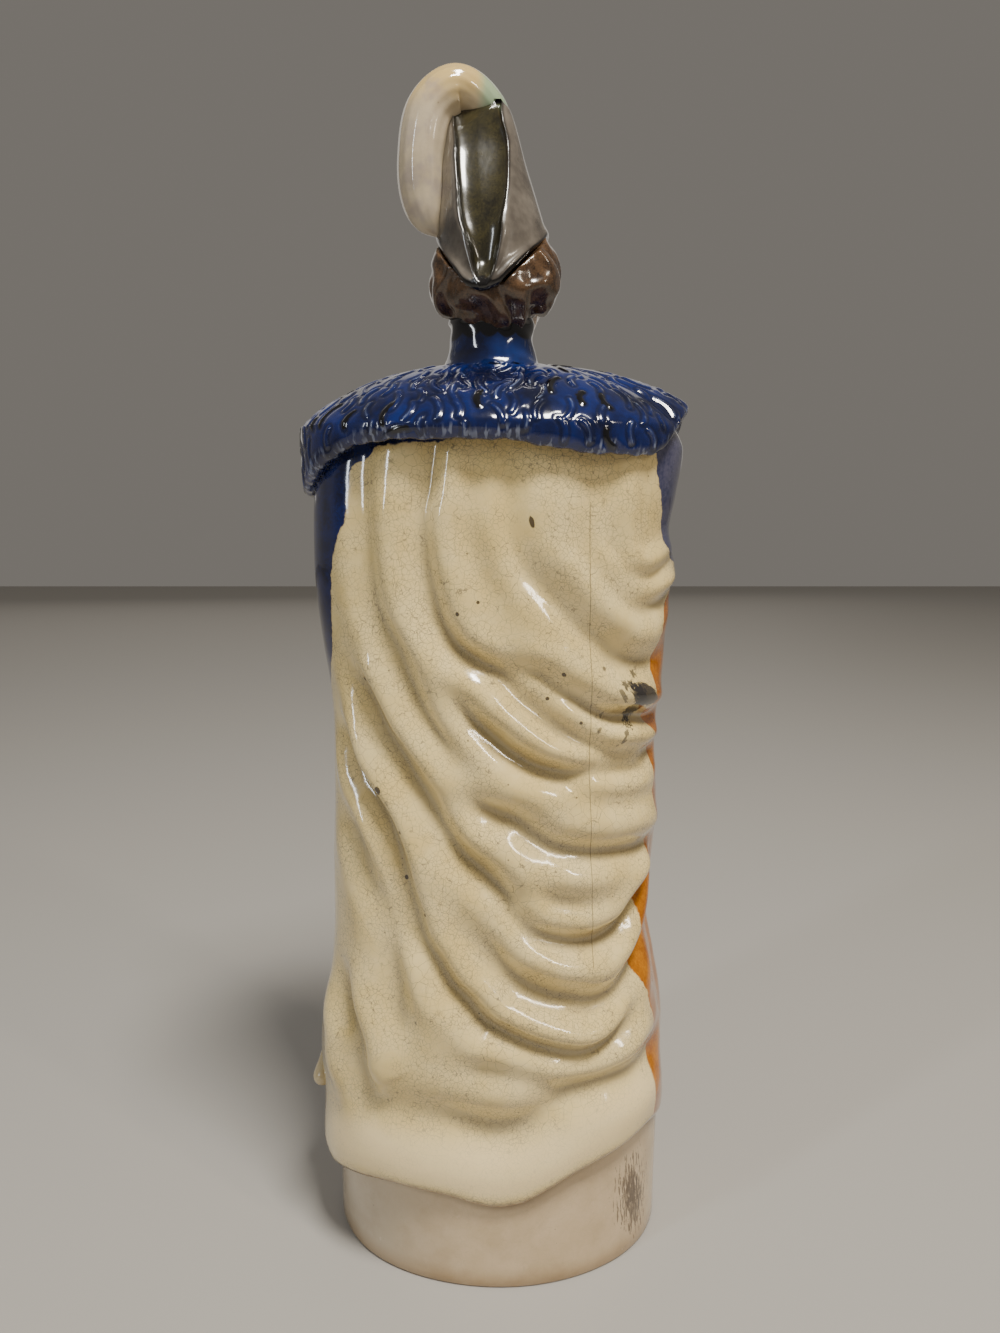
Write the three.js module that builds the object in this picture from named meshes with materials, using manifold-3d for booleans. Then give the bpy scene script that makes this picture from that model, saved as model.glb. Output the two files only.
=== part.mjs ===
// A press-moulded earthenware flatback figure: a standing officer in a cocked hat with a plume,
// a short fur shoulder cape and a long cloak that sweeps in swags across the back, on an oval base.
// It is pressed, joined and fired as one piece, so the whole figure is one solid.
//
// Millimetres, +Z up. The origin is the middle of the base's underside. The figure faces -Y, so its
// left hand is at +X and the middle of its back is at +Y.

import * as THREE from 'three';
import { ParametricGeometry } from 'three/addons/geometries/ParametricGeometry.js';
import { mergeVertices } from 'three/addons/utils/BufferGeometryUtils.js';
import Module from 'manifold-3d';

const wasm = await Module();
wasm.setup();

// Driving sizes
const BASE_WIDTH = 118;
const BASE_DEPTH = 92;
const BASE_HEIGHT = 34; // at the front, where the boots stand
const BASE_EDGE = 2.5; // rounding of the base's edges
const HEM_THICKNESS = 3.2; // rounding of the cloak's hem
const FIGURE_RISE = 366; // from the base's top to the top of the plume

// The figure's own forms are shares of its rise. They are written as millimetres on a figure that
// rises 366 from ground at 34, and one grain is the size of such a millimetre here.
const drawnRise = 366;
const drawnGround = 34;
const GRAIN = FIGURE_RISE / drawnRise;
const toHeight = (z) => BASE_HEIGHT + (z - drawnGround) * GRAIN;
const place = ([x, y, z]) => new THREE.Vector3(x * GRAIN, y * GRAIN, toHeight(z));

const radians = THREE.MathUtils.degToRad;
const smooth = (low, high, t) => THREE.MathUtils.smoothstep(t, low, high);
const mix = THREE.MathUtils.lerp;

// A smooth function through [at, value] knots, flat beyond the first and the last.
function through(knots) {
  const slope = (i) => (knots[i + 1][1] - knots[i][1]) / (knots[i + 1][0] - knots[i][0]);
  const tangents = knots.map((_, i) => {
    if (i === 0 || i === knots.length - 1) return 0;
    const [before, after] = [slope(i - 1), slope(i)];
    return before * after <= 0 ? 0 : (2 * before * after) / (before + after);
  });
  return (at) => {
    if (at <= knots[0][0]) return knots[0][1];
    const next = knots.findIndex(([where]) => where > at);
    if (next < 0) return knots.at(-1)[1];
    const [[a, from], [b, to]] = [knots[next - 1], knots[next]];
    const span = b - a;
    const t = (at - a) / span;
    const leaving = tangents[next - 1] * span * t * (1 - t) ** 2;
    const arriving = tangents[next] * span * t * t * (1 - t);
    return mix(from, to, t * t * (3 - 2 * t)) + leaving - arriving;
  };
}

// A closed mesh as a solid: shared vertices merged, the collapsed triangles at its poles dropped.
function solid(geometry, matrix) {
  const bare = geometry.clone();
  bare.deleteAttribute('normal');
  bare.deleteAttribute('uv');
  if (matrix) bare.applyMatrix4(matrix);
  const merged = mergeVertices(bare, 1e-4);
  const index = merged.index.array;
  const triangles = [];
  for (let i = 0; i < index.length; i += 3) {
    const [a, b, c] = [index[i], index[i + 1], index[i + 2]];
    if (a !== b && b !== c && c !== a) triangles.push(a, b, c);
  }
  const mesh = (order) => new wasm.Mesh({
    numProp: 3,
    vertProperties: Float32Array.from(merged.attributes.position.array),
    triVerts: Uint32Array.from(order),
  });
  const made = new wasm.Manifold(mesh(triangles));
  return made.volume() > 0 ? made : new wasm.Manifold(mesh(triangles.reverse()));
}

const join = (solids) => solids.reduce((whole, piece) => whole.add(piece));

// pointAt(around, up) gives a point for both shares from 0 to 1. It meets itself around, and closes
// to one point at up 0 and at up 1.
function closedSurface(columns, rows, pointAt) {
  const put = (around, up, target) => target.copy(pointAt(around, up));
  return solid(new ParametricGeometry(put, columns, rows));
}

// A limb, finger or roll: a tapered rod with round ends, given as [x, y, z, radius] at both ends.
function limb(from, to, sides = 10, caps = 2) {
  const [start, end] = [place(from), place(to)];
  const length = start.distanceTo(end);
  const [r0, r1] = [from[3] * GRAIN, to[3] * GRAIN];
  const outline = [];
  for (let i = 0; i <= caps; i += 1) {
    const turn = (i / caps) * (Math.PI / 2);
    outline.push(new THREE.Vector2(r0 * Math.sin(turn), -r0 * Math.cos(turn)));
  }
  for (let i = 0; i <= caps; i += 1) {
    const turn = (i / caps) * (Math.PI / 2);
    outline.push(new THREE.Vector2(r1 * Math.cos(turn), length + r1 * Math.sin(turn)));
  }
  outline[0].x = 0;
  outline.at(-1).x = 0;
  const up = new THREE.Vector3(0, 1, 0);
  const turned = new THREE.Quaternion().setFromUnitVectors(up, end.clone().sub(start).normalize());
  const matrix = new THREE.Matrix4().compose(start, turned, new THREE.Vector3(1, 1, 1));
  return solid(new THREE.LatheGeometry(outline, sides), matrix);
}

function ellipsoid([x, y, z], radii, columns = 12, rows = 8) {
  const matrix = new THREE.Matrix4().compose(
    place([x, y, z]),
    new THREE.Quaternion(),
    new THREE.Vector3(...radii).multiplyScalar(GRAIN),
  );
  return solid(new THREE.SphereGeometry(1, columns, rows), matrix);
}

// Bearings run round the upright axis in degrees: 0 is the middle of the back, +90 the figure's
// right side (-X), -90 its left side (+X) and 180 the middle of its front.
function ovalPoint(bearing, reach, squareness = 2.3) {
  const [s, c] = [Math.sin(radians(bearing)), Math.cos(radians(bearing))];
  const wide = s > 0 ? reach.right : reach.left;
  const deep = c > 0 ? reach.back : reach.front;
  const fill = (Math.abs(s) ** squareness + Math.abs(c) ** squareness) ** (-1 / squareness);
  return [-wide * s * fill, deep * c * fill];
}

// Columns stand closer together across the back, which carries the swags.
const backCrowding = 24;
function crowdedBearing(around) {
  return 360 * (around - 0.5) - backCrowding * Math.sin(2 * Math.PI * (around - 0.5));
}

// The cloak's reach from the figure's axis by height.
const cloakReach = {
  left: through([[20, 61.5], [36, 64.5], [66, 64.6], [82, 63.6], [98, 60.2], [118, 58.6],
    [140, 58.3], [160, 57.4], [200, 56.8], [255, 57], [288, 55]]),
  right: through([[20, 59.5], [52, 60.6], [68, 60], [82, 58], [97, 54.8], [116, 51.6],
    [134, 53.8], [156, 55.6], [180, 54.6], [205, 56.6], [226, 57.8], [241, 60.3], [254, 57],
    [288, 54]]),
  back: through([[20, 50], [50, 49.4], [80, 47], [110, 44.6], [150, 42.6], [200, 42],
    [256, 41.6], [288, 38]]),
  front: through([[20, 40], [60, 38], [120, 34], [200, 32], [288, 27]]),
};

// The height of the cloak's hem by bearing. It overhangs the base at the back and the sides.
const hemHeight = through([[-180, 29], [-140, 28], [-112, 22], [-90, 20], [-70, 25], [-51, 31.6],
  [-32, 34.9], [-18, 34.1], [0, 31.4], [7, 32.6], [15, 35.7], [27, 40.8], [39, 43.6], [56, 46],
  [70, 43], [90, 35], [112, 33], [145, 29], [180, 29]]);

// The cloak's folds, each a run of [bearing, height] along its steep side, from the shoulder or the
// left edge down to the right. The cloth swells above and to the right of that line by crest, over
// a distance of width, and sinks below it.
const swags = [
  {
    crest: 2.7,
    width: 4.4,
    run: [[-14, 282], [-18, 246], [-12, 222], [5, 204], [25, 189], [46, 181], [88, 178]],
  },
  {
    crest: 2.2,
    width: 4.2,
    run: [[-2, 282], [-4, 252], [1, 236], [11, 216], [22, 203], [38, 195], [88, 192]],
  },
  { crest: 1.8, width: 4, run: [[9, 276], [10, 246], [18, 231], [32, 219], [50, 212], [88, 212]] },
  { crest: 1.5, width: 3.4, run: [[27, 272], [30, 245], [38, 232], [52, 226], [88, 226]] },
  { crest: 2, width: 2.8, run: [[38, 274], [42, 252], [50, 241], [64, 237], [90, 236]] },
  {
    crest: 1.9,
    width: 3.2,
    run: [[-26, 216], [-15, 199], [-2, 187], [14, 179], [36, 174.5], [88, 172]],
  },
  { crest: 0.9, width: 2.2, run: [[8, 176], [24, 169.5], [40, 167], [80, 166]] },
  {
    crest: 2.6,
    width: 4.4,
    run: [[-48, 282], [-47, 235], [-35, 203], [-24, 187], [-2, 164], [14, 154], [32, 149], [88, 148]],
  },
  { crest: 1, width: 1.9, run: [[0, 148], [14, 137.5], [36, 132], [76, 132]] },
  {
    crest: 3,
    width: 4.2,
    run: [[-20, 162], [-8, 142], [3, 131], [17, 122.8], [38, 118], [60, 126], [86, 142]],
  },
  {
    crest: 2.3,
    width: 3.6,
    run: [[-66, 218], [-45, 191], [-32, 174.5], [-19, 148], [-8, 125], [4, 112], [20, 102],
      [40, 97.5], [60, 102], [84, 118]],
  },
  {
    crest: 2.5,
    width: 3.2,
    run: [[-84, 192], [-62, 175], [-50, 167], [-38, 147], [-21, 113], [-7, 98], [8, 88], [26, 83],
      [44, 85], [80, 110]],
  },
  {
    crest: 1.9,
    width: 2.8,
    run: [[-78, 174], [-60, 156], [-47, 137.6], [-39, 116], [-35, 92], [-31, 70]],
  },
  { crest: 2.1, width: 2.8, run: [[-82, 116], [-74, 90], [-62, 78], [-48, 67], [-32, 60]] },
  { crest: 1.3, width: 4.2, run: [[-24, 88], [-6, 77], [12, 73], [36, 72], [58, 75], [84, 88]] },
];
const swagSteps = 30;
const reliefRadius = 50; // turns bearings into distances along the cloth
const alongCloth = radians(reliefRadius);
const swagLines = swags.map(({ crest, width, run }) => {
  const stops = run.map(([bearing, z]) => new THREE.Vector2(bearing * alongCloth, z));
  const spline = new THREE.SplineCurve(stops);
  return { crest, width, points: spline.getPoints(swagSteps) };
});
const valleyShare = 0.8; // a valley is narrower than the crest above it
const swagFade = 0.13; // share of the run over which a fold dies away at each end
const swagEnd = 95; // bearing where the folds give way to the front edges

function swagRelief(bearing, z) {
  const [u, w] = [bearing * alongCloth, z];
  let relief = 0;
  for (const { crest, width, points } of swagLines) {
    let nearest = { distance: Infinity, side: 0, share: 0 };
    for (let i = 0; i < swagSteps; i += 1) {
      const [a, b] = [points[i], points[i + 1]];
      const [dx, dz] = [b.x - a.x, b.y - a.y];
      const t = THREE.MathUtils.clamp(((u - a.x) * dx + (w - a.y) * dz) / (dx * dx + dz * dz), 0, 1);
      const distance = Math.hypot(u - a.x - t * dx, w - a.y - t * dz);
      if (distance < nearest.distance) {
        const side = Math.sign(dx * (w - a.y) - dz * (u - a.x));
        nearest = { distance, side, share: (i + t) / swagSteps };
      }
    }
    const reach = nearest.side > 0 ? width : width * valleyShare;
    const s = nearest.distance / reach;
    const fade = smooth(0, swagFade, nearest.share) * (1 - smooth(1 - swagFade, 1, nearest.share));
    const swell = crest * (reach / width) * s * Math.exp(0.5 - 0.5 * s * s);
    relief += nearest.side * swell * fade;
  }
  return relief * (1 - smooth(swagEnd - 9, swagEnd + 9, Math.abs(bearing)));
}

// The cloak's turned-back front edges stand proud of it, and between them it is sunk to a plain
// background behind the legs.
const leftEdge = through([[30, -124], [70, -120], [130, -112], [200, -112], [270, -122]]);
const rightEdge = through([[30, 118], [60, 110], [105, 100], [130, 104], [200, 112], [270, 122]]);
const liningWidth = 11; // degrees
const liningHeight = 3.4;
const nicheDepth = 19;
const nicheSlope = { start: 5, end: 18 }; // degrees past the edge

function frontRelief(bearing, z) {
  const edge = bearing < 0 ? -leftEdge(z) : rightEdge(z);
  const past = Math.abs(bearing) - edge;
  const lining = liningHeight * Math.exp(-((past / liningWidth) ** 2));
  return lining - nicheDepth * smooth(nicheSlope.start, nicheSlope.end, past);
}

const baseReach = {
  left: BASE_WIDTH / 2,
  right: BASE_WIDTH / 2,
  back: BASE_DEPTH / 2,
  front: BASE_DEPTH / 2,
};
const mapSides = (valueOf) => Object.fromEntries(Object.keys(baseReach).map((side) => [side, valueOf(side)]));

// Near the ground the cloak's reach follows the base, which its hem overhangs.
const hemOverhang = { left: 2.5, right: 0.5, back: 4, front: -6 };
const hemFoot = 20;

function cloakReachAt(z) {
  const nearBase = 1 - smooth(52, 140, z);
  const reachOn = (side) => {
    const drawn = cloakReach[side];
    const spare = baseReach[side] + (hemOverhang[side] - drawn(hemFoot)) * GRAIN;
    return drawn(z) * GRAIN + spare * nearBase;
  };
  return mapSides(reachOn);
}

function cloakPoint(bearing, z, inward = 0) {
  const [x, y] = ovalPoint(bearing, cloakReachAt(z));
  const radius = Math.hypot(x, y);
  const relief = (swagRelief(bearing, z) + frontRelief(bearing, z)) * GRAIN;
  const grown = (radius + relief - inward) / radius;
  return new THREE.Vector3(x * grown, y * grown, toHeight(z));
}

const cloakTop = 286; // inside the shoulder cape
const cloakFloor = 31; // inside the base

// The hem is rounded: its underside, then the two rows of its turn, then the rows up the cloth.
function cloak(columns, rows) {
  const lip = HEM_THICKNESS / GRAIN;
  const hemRows = [
    { rise: 0, inward: 1.3 * HEM_THICKNESS },
    { rise: 0.3 * lip, inward: 0.25 * HEM_THICKNESS },
  ];
  const firstClothRow = hemRows.length + 1;
  return closedSurface(columns, rows, (around, up) => {
    const row = Math.round(up * rows);
    const bearing = crowdedBearing(around);
    const hem = hemHeight(bearing);
    if (row === 0) return place([0, 0, cloakFloor]);
    if (row === rows) return place([0, 0, cloakTop]);
    if (row < firstClothRow) {
      const { rise, inward } = hemRows[row - 1];
      return cloakPoint(bearing, hem + rise, inward);
    }
    const share = (row - firstClothRow) / (rows - 1 - firstClothRow);
    return cloakPoint(bearing, mix(hem + lip, cloakTop, share));
  });
}

// The base is an oval drum with rounded edges. Behind the cloak it rises further, up to the hem.
const behindCloak = 16;

function base(columns) {
  const turn = 0.3 * BASE_EDGE; // the middle row of a rounded edge
  const insets = [BASE_EDGE, turn, 0, 0, turn, BASE_EDGE];
  const rows = insets.length + 1;
  return closedSurface(columns, rows, (around, up) => {
    const row = Math.round(up * rows);
    const bearing = 360 * (around - 0.5);
    const top = BASE_HEIGHT + behindCloak * GRAIN * (1 - smooth(80, 106, Math.abs(bearing)));
    const heights = [0, turn, BASE_EDGE, top - BASE_EDGE, top - turn, top];
    if (row === 0) return new THREE.Vector3(0, 0, 0);
    if (row === rows) return new THREE.Vector3(0, 0, BASE_HEIGHT + 0.5 * behindCloak * GRAIN);
    const [x, y] = ovalPoint(bearing, baseReach, 2.05);
    const grown = 1 - insets[row - 1] / Math.hypot(x, y);
    return new THREE.Vector3(x * grown, y * grown, heights[row - 1]);
  });
}

// The shoulder cape: a low dome whose rolled edge hangs lowest over the arms and opens in a V in front.
const capeReach = { left: 65.4, right: 63.2, back: 46.5, front: 41 };
const capeLip = through([[-180, 294], [-168, 274], [-150, 265], [-120, 262], [-85, 263],
  [-69, 267.5], [-52, 274], [-42, 277.5], [-28, 279.2], [0, 279], [17, 276.5], [30, 275],
  [52, 275], [62, 276.5], [75, 281], [88, 284], [101, 280], [130, 268], [150, 265], [168, 274],
  [180, 294]]);
const capeBrim = 284; // where the cape's side turns over into its top
const capeCrown = 306.5;
const capeDome = (share) => Math.max(0, 1 - share ** 2.2) ** 0.8;

function cape(columns) {
  const domeShares = [0.985, 0.94, 0.86, 0.74, 0.58, 0.4];
  const rows = 4 + domeShares.length + 1;
  const point = (bearing, share, z) => {
    const [x, y] = ovalPoint(bearing, capeReach, 2.25);
    return place([x * share, y * share, z]);
  };
  return closedSurface(columns, rows, (around, up) => {
    const row = Math.round(up * rows);
    const bearing = 360 * (around - 0.5);
    const lip = capeLip(bearing);
    const brim = Math.max(capeBrim, lip + 4);
    if (row === 0) return place([0, 0, 286]);
    if (row === rows) return place([0, 0, capeCrown + 0.5]);
    if (row === 1) return point(bearing, 0.86, lip + 2.5);
    if (row === 2) return point(bearing, 0.955, lip);
    if (row === 3) return point(bearing, 0.99, lip + 2.2);
    if (row === 4) return point(bearing, 1, brim);
    const share = domeShares[row - 5];
    return point(bearing, share, brim + (capeCrown - brim) * capeDome(share));
  });
}

// The coat under the cape: chest, waist and a skirt with shallow pleats.
const coatWide = through([[136, 41], [150, 40], [176, 36], [202, 33], [226, 37], [250, 41],
  [274, 36], [290, 20]]);
const coatDeep = through([[136, 36], [150, 35], [176, 31.5], [202, 28.5], [226, 31], [250, 32.5],
  [274, 27], [290, 19]]);
const coatMiddle = -4;

function coat(columns, rows) {
  const [low, high] = [136, 290];
  return closedSurface(columns, rows, (around, up) => {
    const row = Math.round(up * rows);
    const bearing = 360 * (around - 0.5);
    if (row === 0) return place([0, coatMiddle, low + 2]);
    if (row === rows) return place([0, coatMiddle, high + 4]);
    const z = mix(low, high, (row - 1) / (rows - 2));
    const skirt = 1 - smooth(150, 196, z);
    const pleats = 1.1 * skirt * Math.cos(radians(bearing) * 15);
    const reach = { left: coatWide(z), right: coatWide(z), back: 18, front: coatDeep(z) + pleats };
    const [x, y] = ovalPoint(bearing, reach, 2.2);
    return place([x, coatMiddle + y, z]);
  });
}

const sides = [1, -1]; // the figure's left (+X), then its right

function legs() {
  const pieces = [];
  for (const side of sides) {
    const hip = [13 * side, -20, 150, 11];
    const knee = [14.5 * side, -21.5, 98, 8.6];
    const ankle = [16 * side, -19, 44, 6.6];
    const toe = [20.5 * side, -34, 39, 5.2];
    pieces.push(limb(hip, knee, 8), limb(knee, ankle, 8));
    pieces.push(limb([14.6 * side, -21.5, 95, 9.8], [14.8 * side, -21.3, 89, 9.4], 8));
    pieces.push(limb([16 * side, -19, 40.5, 6.8], toe, 8));
  }
  return join(pieces);
}

function fingers(wrist, tips, radius) {
  return join(tips.map((tip) => limb([...wrist, radius + 0.4], [...tip, radius], 5, 1)));
}

// The left hand rests on the sword hilt at the belt; the right is laid across the chest.
function arms() {
  const left = [
    limb([51, -3, 274, 10.4], [54, -7, 214, 9.4], 8),
    limb([54, -8, 213, 9.4], [38, -33, 205, 7.4], 8, 1),
    limb([37, -34, 205, 8.4], [34, -37, 204.5, 8.2], 8),
    ellipsoid([28, -41, 204.5], [6.4, 4.4, 5], 7, 5),
    fingers([26, -42, 204.5], [[20, -43, 208], [19, -43, 204.4], [20, -42.6, 200.8]], 2.1),
  ];
  const right = [
    limb([-50, -3, 274, 10.4], [-51, -9, 232, 9.6], 8),
    limb([-51, -10, 231, 9.6], [-33, -34, 236, 7.4], 8, 1),
    limb([-32, -35, 236.5, 8.4], [-29, -37.5, 237, 8.2], 8),
    ellipsoid([-22, -40, 239], [6.4, 4.4, 5], 7, 5),
    fingers([-20, -41, 239.5], [[-14, -41, 243.6], [-13, -41, 240], [-14.5, -41, 236.4]], 2.1),
  ];
  return join([...left, ...right]);
}

// The scabbard runs from the belt to the cloak's left edge, where its tip stands out as a small knob.
function sword() {
  const edge = cloakPoint(-106, 53);
  const end = [edge.x / GRAIN, edge.y / GRAIN];
  const scabbard = limb([33, -40, 194, 2.9], [end[0] + 1.5, end[1] - 3, 62, 2.9], 8, 1);
  const tip = limb([end[0] + 1.8, end[1] - 2, 60, 3.6], [end[0] + 3.4, end[1] + 3, 51.5, 3.4], 8);
  const hilt = limb([31, -42, 200, 2.4], [27, -44, 214, 2.2], 6, 1);
  const guard = limb([25.5, -42.5, 197, 1.8], [37.5, -40.5, 199.5, 1.8], 6, 1);
  return join([scabbard, tip, hilt, guard]);
}

// The head is turned a little to the figure's right, so head parts are given in the head's own
// directions, with the face towards -Y, and turned about the neck.
const headTurn = -10;
const neckMiddle = [0.5, 0];

function turnedHead(x, y) {
  const [s, c] = [Math.sin(radians(headTurn)), Math.cos(radians(headTurn))];
  return [neckMiddle[0] + x * c - y * s, neckMiddle[1] + x * s + y * c];
}

const headLimb = ([x0, y0, z0, r0], [x1, y1, z1, r1], around = 8, caps = 2) => limb(
  [...turnedHead(x0, y0), z0, r0],
  [...turnedHead(x1, y1), z1, r1],
  around,
  caps,
);

function headBall([x, y, z], radii, columns, rows) {
  return ellipsoid([...turnedHead(x, y), z], radii, columns, rows);
}

function head() {
  const skull = headBall([0, 0, 337], [17, 19.5, 21], 12, 9);
  const jaw = headBall([0, -6.5, 326], [13.2, 14, 15.2], 12, 8);
  const chin = headBall([0, -16.6, 314.4], [5, 4, 3.6], 7, 5);
  const nose = headLimb([0, -19.4, 335, 1.7], [0, -22.8, 326.6, 2.7], 6);
  const features = [skull, jaw, chin, nose];
  for (const side of sides) {
    features.push(headLimb([2.5 * side, -18.6, 338.4, 1.7], [11 * side, -15.4, 337.6, 1.6], 6, 1));
    features.push(headBall([6.4 * side, -16.4, 333.4], [3.2, 2.8, 2.2], 6, 4));
    features.push(headBall([7.8 * side, -14, 325.4], [5, 4.6, 4.8], 6, 5));
  }
  features.push(headLimb([-4, -19, 319.6, 1.5], [4, -19, 319.6, 1.5], 6, 1));
  return join(features);
}

// Short curls: a roll of locks round the nape, swelling over each ear.
function hair() {
  const locks = [];
  const lockCount = 7;
  for (let i = 0; i < lockCount; i += 1) {
    const turn = radians(mix(-96, 96, i / (lockCount - 1)));
    const ear = Math.abs(Math.sin(turn)) ** 3;
    const away = mix(13.2, 15.4, ear);
    locks.push(headBall([away * Math.sin(turn), 0.8 + away * Math.cos(turn), mix(325.5, 331, ear)],
      [6.6, 6.6, mix(8, 9.6, ear)], 7, 5));
  }
  for (const side of sides) {
    locks.push(headBall([14.6 * side, -7.5, 335], [3.8, 5, 8], 6, 4));
  }
  return join(locks);
}

function collar() {
  const rings = [[null, 300], [17.5, 302], [16.4, 307], [14.6, 313], [14.4, 319], [12.4, 320.4],
    [null, 332]];
  return closedSurface(16, rings.length - 1, (around, up) => {
    const [radius, z] = rings[Math.round(up * (rings.length - 1))];
    if (radius === null) return place([2, 0, z]);
    const turn = 2 * Math.PI * around;
    return place([2 + radius * Math.sin(turn), radius * 0.94 * Math.cos(turn), z]);
  });
}

// The hat is worn fore and aft with its rear peak low on the nape. Its two turned-up flaps leave a
// tapering channel between them down the back, and it leans to the figure's left.
const hatFoot = 330;
const hatRise = 59;
const hatLean = 0.11;
const channelDeep = 4.2;
const hatRim = through([[0, 0.017], [30, 0.09], [60, 0.2], [90, 0.27], [130, 0.29], [180, 0.3]]);
const hatWide = through([[0, 17], [0.25, 17.6], [0.51, 15.2], [0.71, 13], [0.92, 9.4], [1, 5.5]]);
const hatBack = through([[0, 22.4], [0.2, 22.2], [0.37, 20], [0.54, 16.8], [0.75, 11.6], [0.92, 6.5],
  [1, 3]]);
const hatFront = through([[0.2, 33], [0.34, 31.5], [0.51, 26], [0.71, 17], [0.92, 8.4], [1, 3.5]]);
const channelWide = through([[0.02, 1.2], [0.1, 2.6], [0.27, 5.4], [0.48, 7.4], [0.68, 8.2], [0.95, 7.8]]);

function hat(columns, rows) {
  return closedSurface(columns, rows, (around, up) => {
    const row = Math.round(up * rows);
    const bearing = crowdedBearing(around);
    if (row === 0) return place([...turnedHead(0, 0), hatFoot + 4]);
    if (row === rows) return place([...turnedHead(5, -1), hatFoot + hatRise]);
    const turnOver = Math.sin((row - 1) / (rows - 2) * Math.PI / 2);
    const share = mix(hatRim(Math.abs(bearing)), 0.985, turnOver);
    const wide = hatWide(share);
    const reach = { left: wide, right: wide, back: hatBack(share), front: hatFront(share) };
    const [x, y] = ovalPoint(bearing, reach, 1.8);
    const channel = Math.exp(-((x / channelWide(share)) ** 4)) * smooth(0.02, 0.19, share);
    const sunk = Math.abs(bearing) < 90 ? channelDeep * channel : 0;
    const z = hatFoot + share * hatRise;
    const lean = (share - hatRim(90)) * hatRise * hatLean;
    return place([...turnedHead(x + lean, y - sunk), z]);
  });
}

// The plume springs from the hat's front, lies over its top and falls down its left side. Each
// station is [x, y, height above the hat's top, half thickness, half width].
const plumeStations = [[-6, -17, -21, 2, 2.5], [-4.5, -14, -11, 6, 7], [2, -9, -1, 7.4, 9.5],
  [13, -5, 2.6, 8.2, 10.5], [22, -3.5, -4, 7.9, 10.5], [25.5, -2.5, -18, 7, 10],
  [25, -1.5, -30, 6.6, 8], [21.5, 0, -39, 4, 4.5]];

function plume(columns, rows) {
  const stops = plumeStations.map(([x, y, above]) => place([x, y, hatFoot + hatRise + above]));
  const middle = new THREE.CatmullRomCurve3(stops);
  const last = plumeStations.length - 1;
  const thick = through(plumeStations.map((station, i) => [i / last, station[3] * GRAIN]));
  const wide = through(plumeStations.map((station, i) => [i / last, station[4] * GRAIN]));
  const across = new THREE.Vector3(0, 1, 0);
  return closedSurface(columns, rows, (around, up) => {
    const tangent = middle.getTangent(up);
    const outward = tangent.clone().cross(across).normalize();
    const end = Math.min(up, 1 - up) * rows;
    const round = end === 0 ? 0 : Math.min(1, 0.62 + 0.38 * (end - 1));
    const turn = 2 * Math.PI * around;
    return middle.getPoint(up)
      .addScaledVector(outward, round * thick(up) * Math.cos(turn))
      .addScaledVector(across, round * wide(up) * Math.sin(turn));
  });
}

function figureSolid() {
  return join([
    base(40),
    cloak(46, 42),
    coat(24, 7),
    legs(),
    arms(),
    sword(),
    cape(40),
    collar(),
    head(),
    hair(),
    hat(24, 9),
    plume(12, 12),
  ]);
}

function toMesh(name, made, material) {
  const { vertProperties, triVerts } = made.getMesh();
  const geometry = new THREE.BufferGeometry();
  geometry.setAttribute('position', new THREE.BufferAttribute(Float32Array.from(vertProperties), 3));
  geometry.setIndex(new THREE.BufferAttribute(Uint32Array.from(triVerts), 1));
  geometry.computeVertexNormals();
  const mesh = new THREE.Mesh(geometry, material);
  mesh.name = name;
  return mesh;
}

const creamGlaze = new THREE.MeshStandardMaterial({ color: 0xd9cba8, roughness: 0.15, metalness: 0 });

const flatbackFigure = new THREE.Group();
flatbackFigure.add(toMesh('figure', figureSolid(), creamGlaze));

export default flatbackFigure;
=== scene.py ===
"""The looks of a press-moulded earthenware flatback figure: a standing officer in a plumed cocked
hat, a fur shoulder cape and a long swagged cloak, glazed cream and painted under the glaze.

Forms are drawn in millimetres, with the origin in the middle of the base's underside and +Z up.
The figure faces -Y, so the cloaked back that the camera sees faces +Y. Bearings run round the
upright axis in degrees: 0 is the middle of the back, +90 the figure's right (-X), 180 its front.
"""

import bpy
import numpy as np
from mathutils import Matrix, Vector


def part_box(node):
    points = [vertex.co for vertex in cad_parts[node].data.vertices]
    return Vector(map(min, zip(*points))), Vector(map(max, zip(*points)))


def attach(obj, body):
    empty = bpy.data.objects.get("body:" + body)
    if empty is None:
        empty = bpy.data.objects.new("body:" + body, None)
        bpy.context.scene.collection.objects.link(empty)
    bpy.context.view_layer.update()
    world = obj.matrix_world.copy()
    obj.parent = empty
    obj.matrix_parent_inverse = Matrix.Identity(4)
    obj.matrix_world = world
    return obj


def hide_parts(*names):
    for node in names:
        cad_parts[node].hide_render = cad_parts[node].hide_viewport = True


bl_info = {
    "name": "Flatback Figure",
    "version": (1, 0, 0),
    "blender": (4, 5, 0),
    "location": "3D View > Sidebar > Figure",
    "description": "Builds a glazed earthenware flatback figure around its packed solid",
    "category": "Add Mesh",
}

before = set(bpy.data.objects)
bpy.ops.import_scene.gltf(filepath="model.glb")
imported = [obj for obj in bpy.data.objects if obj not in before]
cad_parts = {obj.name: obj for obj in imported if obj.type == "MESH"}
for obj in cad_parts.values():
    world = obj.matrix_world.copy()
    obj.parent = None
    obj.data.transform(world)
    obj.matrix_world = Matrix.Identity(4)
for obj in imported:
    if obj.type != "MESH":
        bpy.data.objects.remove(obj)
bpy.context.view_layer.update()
LOW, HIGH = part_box("figure")

MILLIMETRE = 0.001
# The solid's size when the forms below were drawn, in millimetres.
DRAWN_SIZE = np.array([133.4, 95.9, 399.9])
TO_FRAME = np.array(HIGH - LOW) / (DRAWN_SIZE * MILLIMETRE)
BASE = {"left": 59.0, "right": 59.0, "back": 46.0, "front": 46.0}
BASE_TOP = 34.0


# Curves, ovals and closed surfaces


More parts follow.
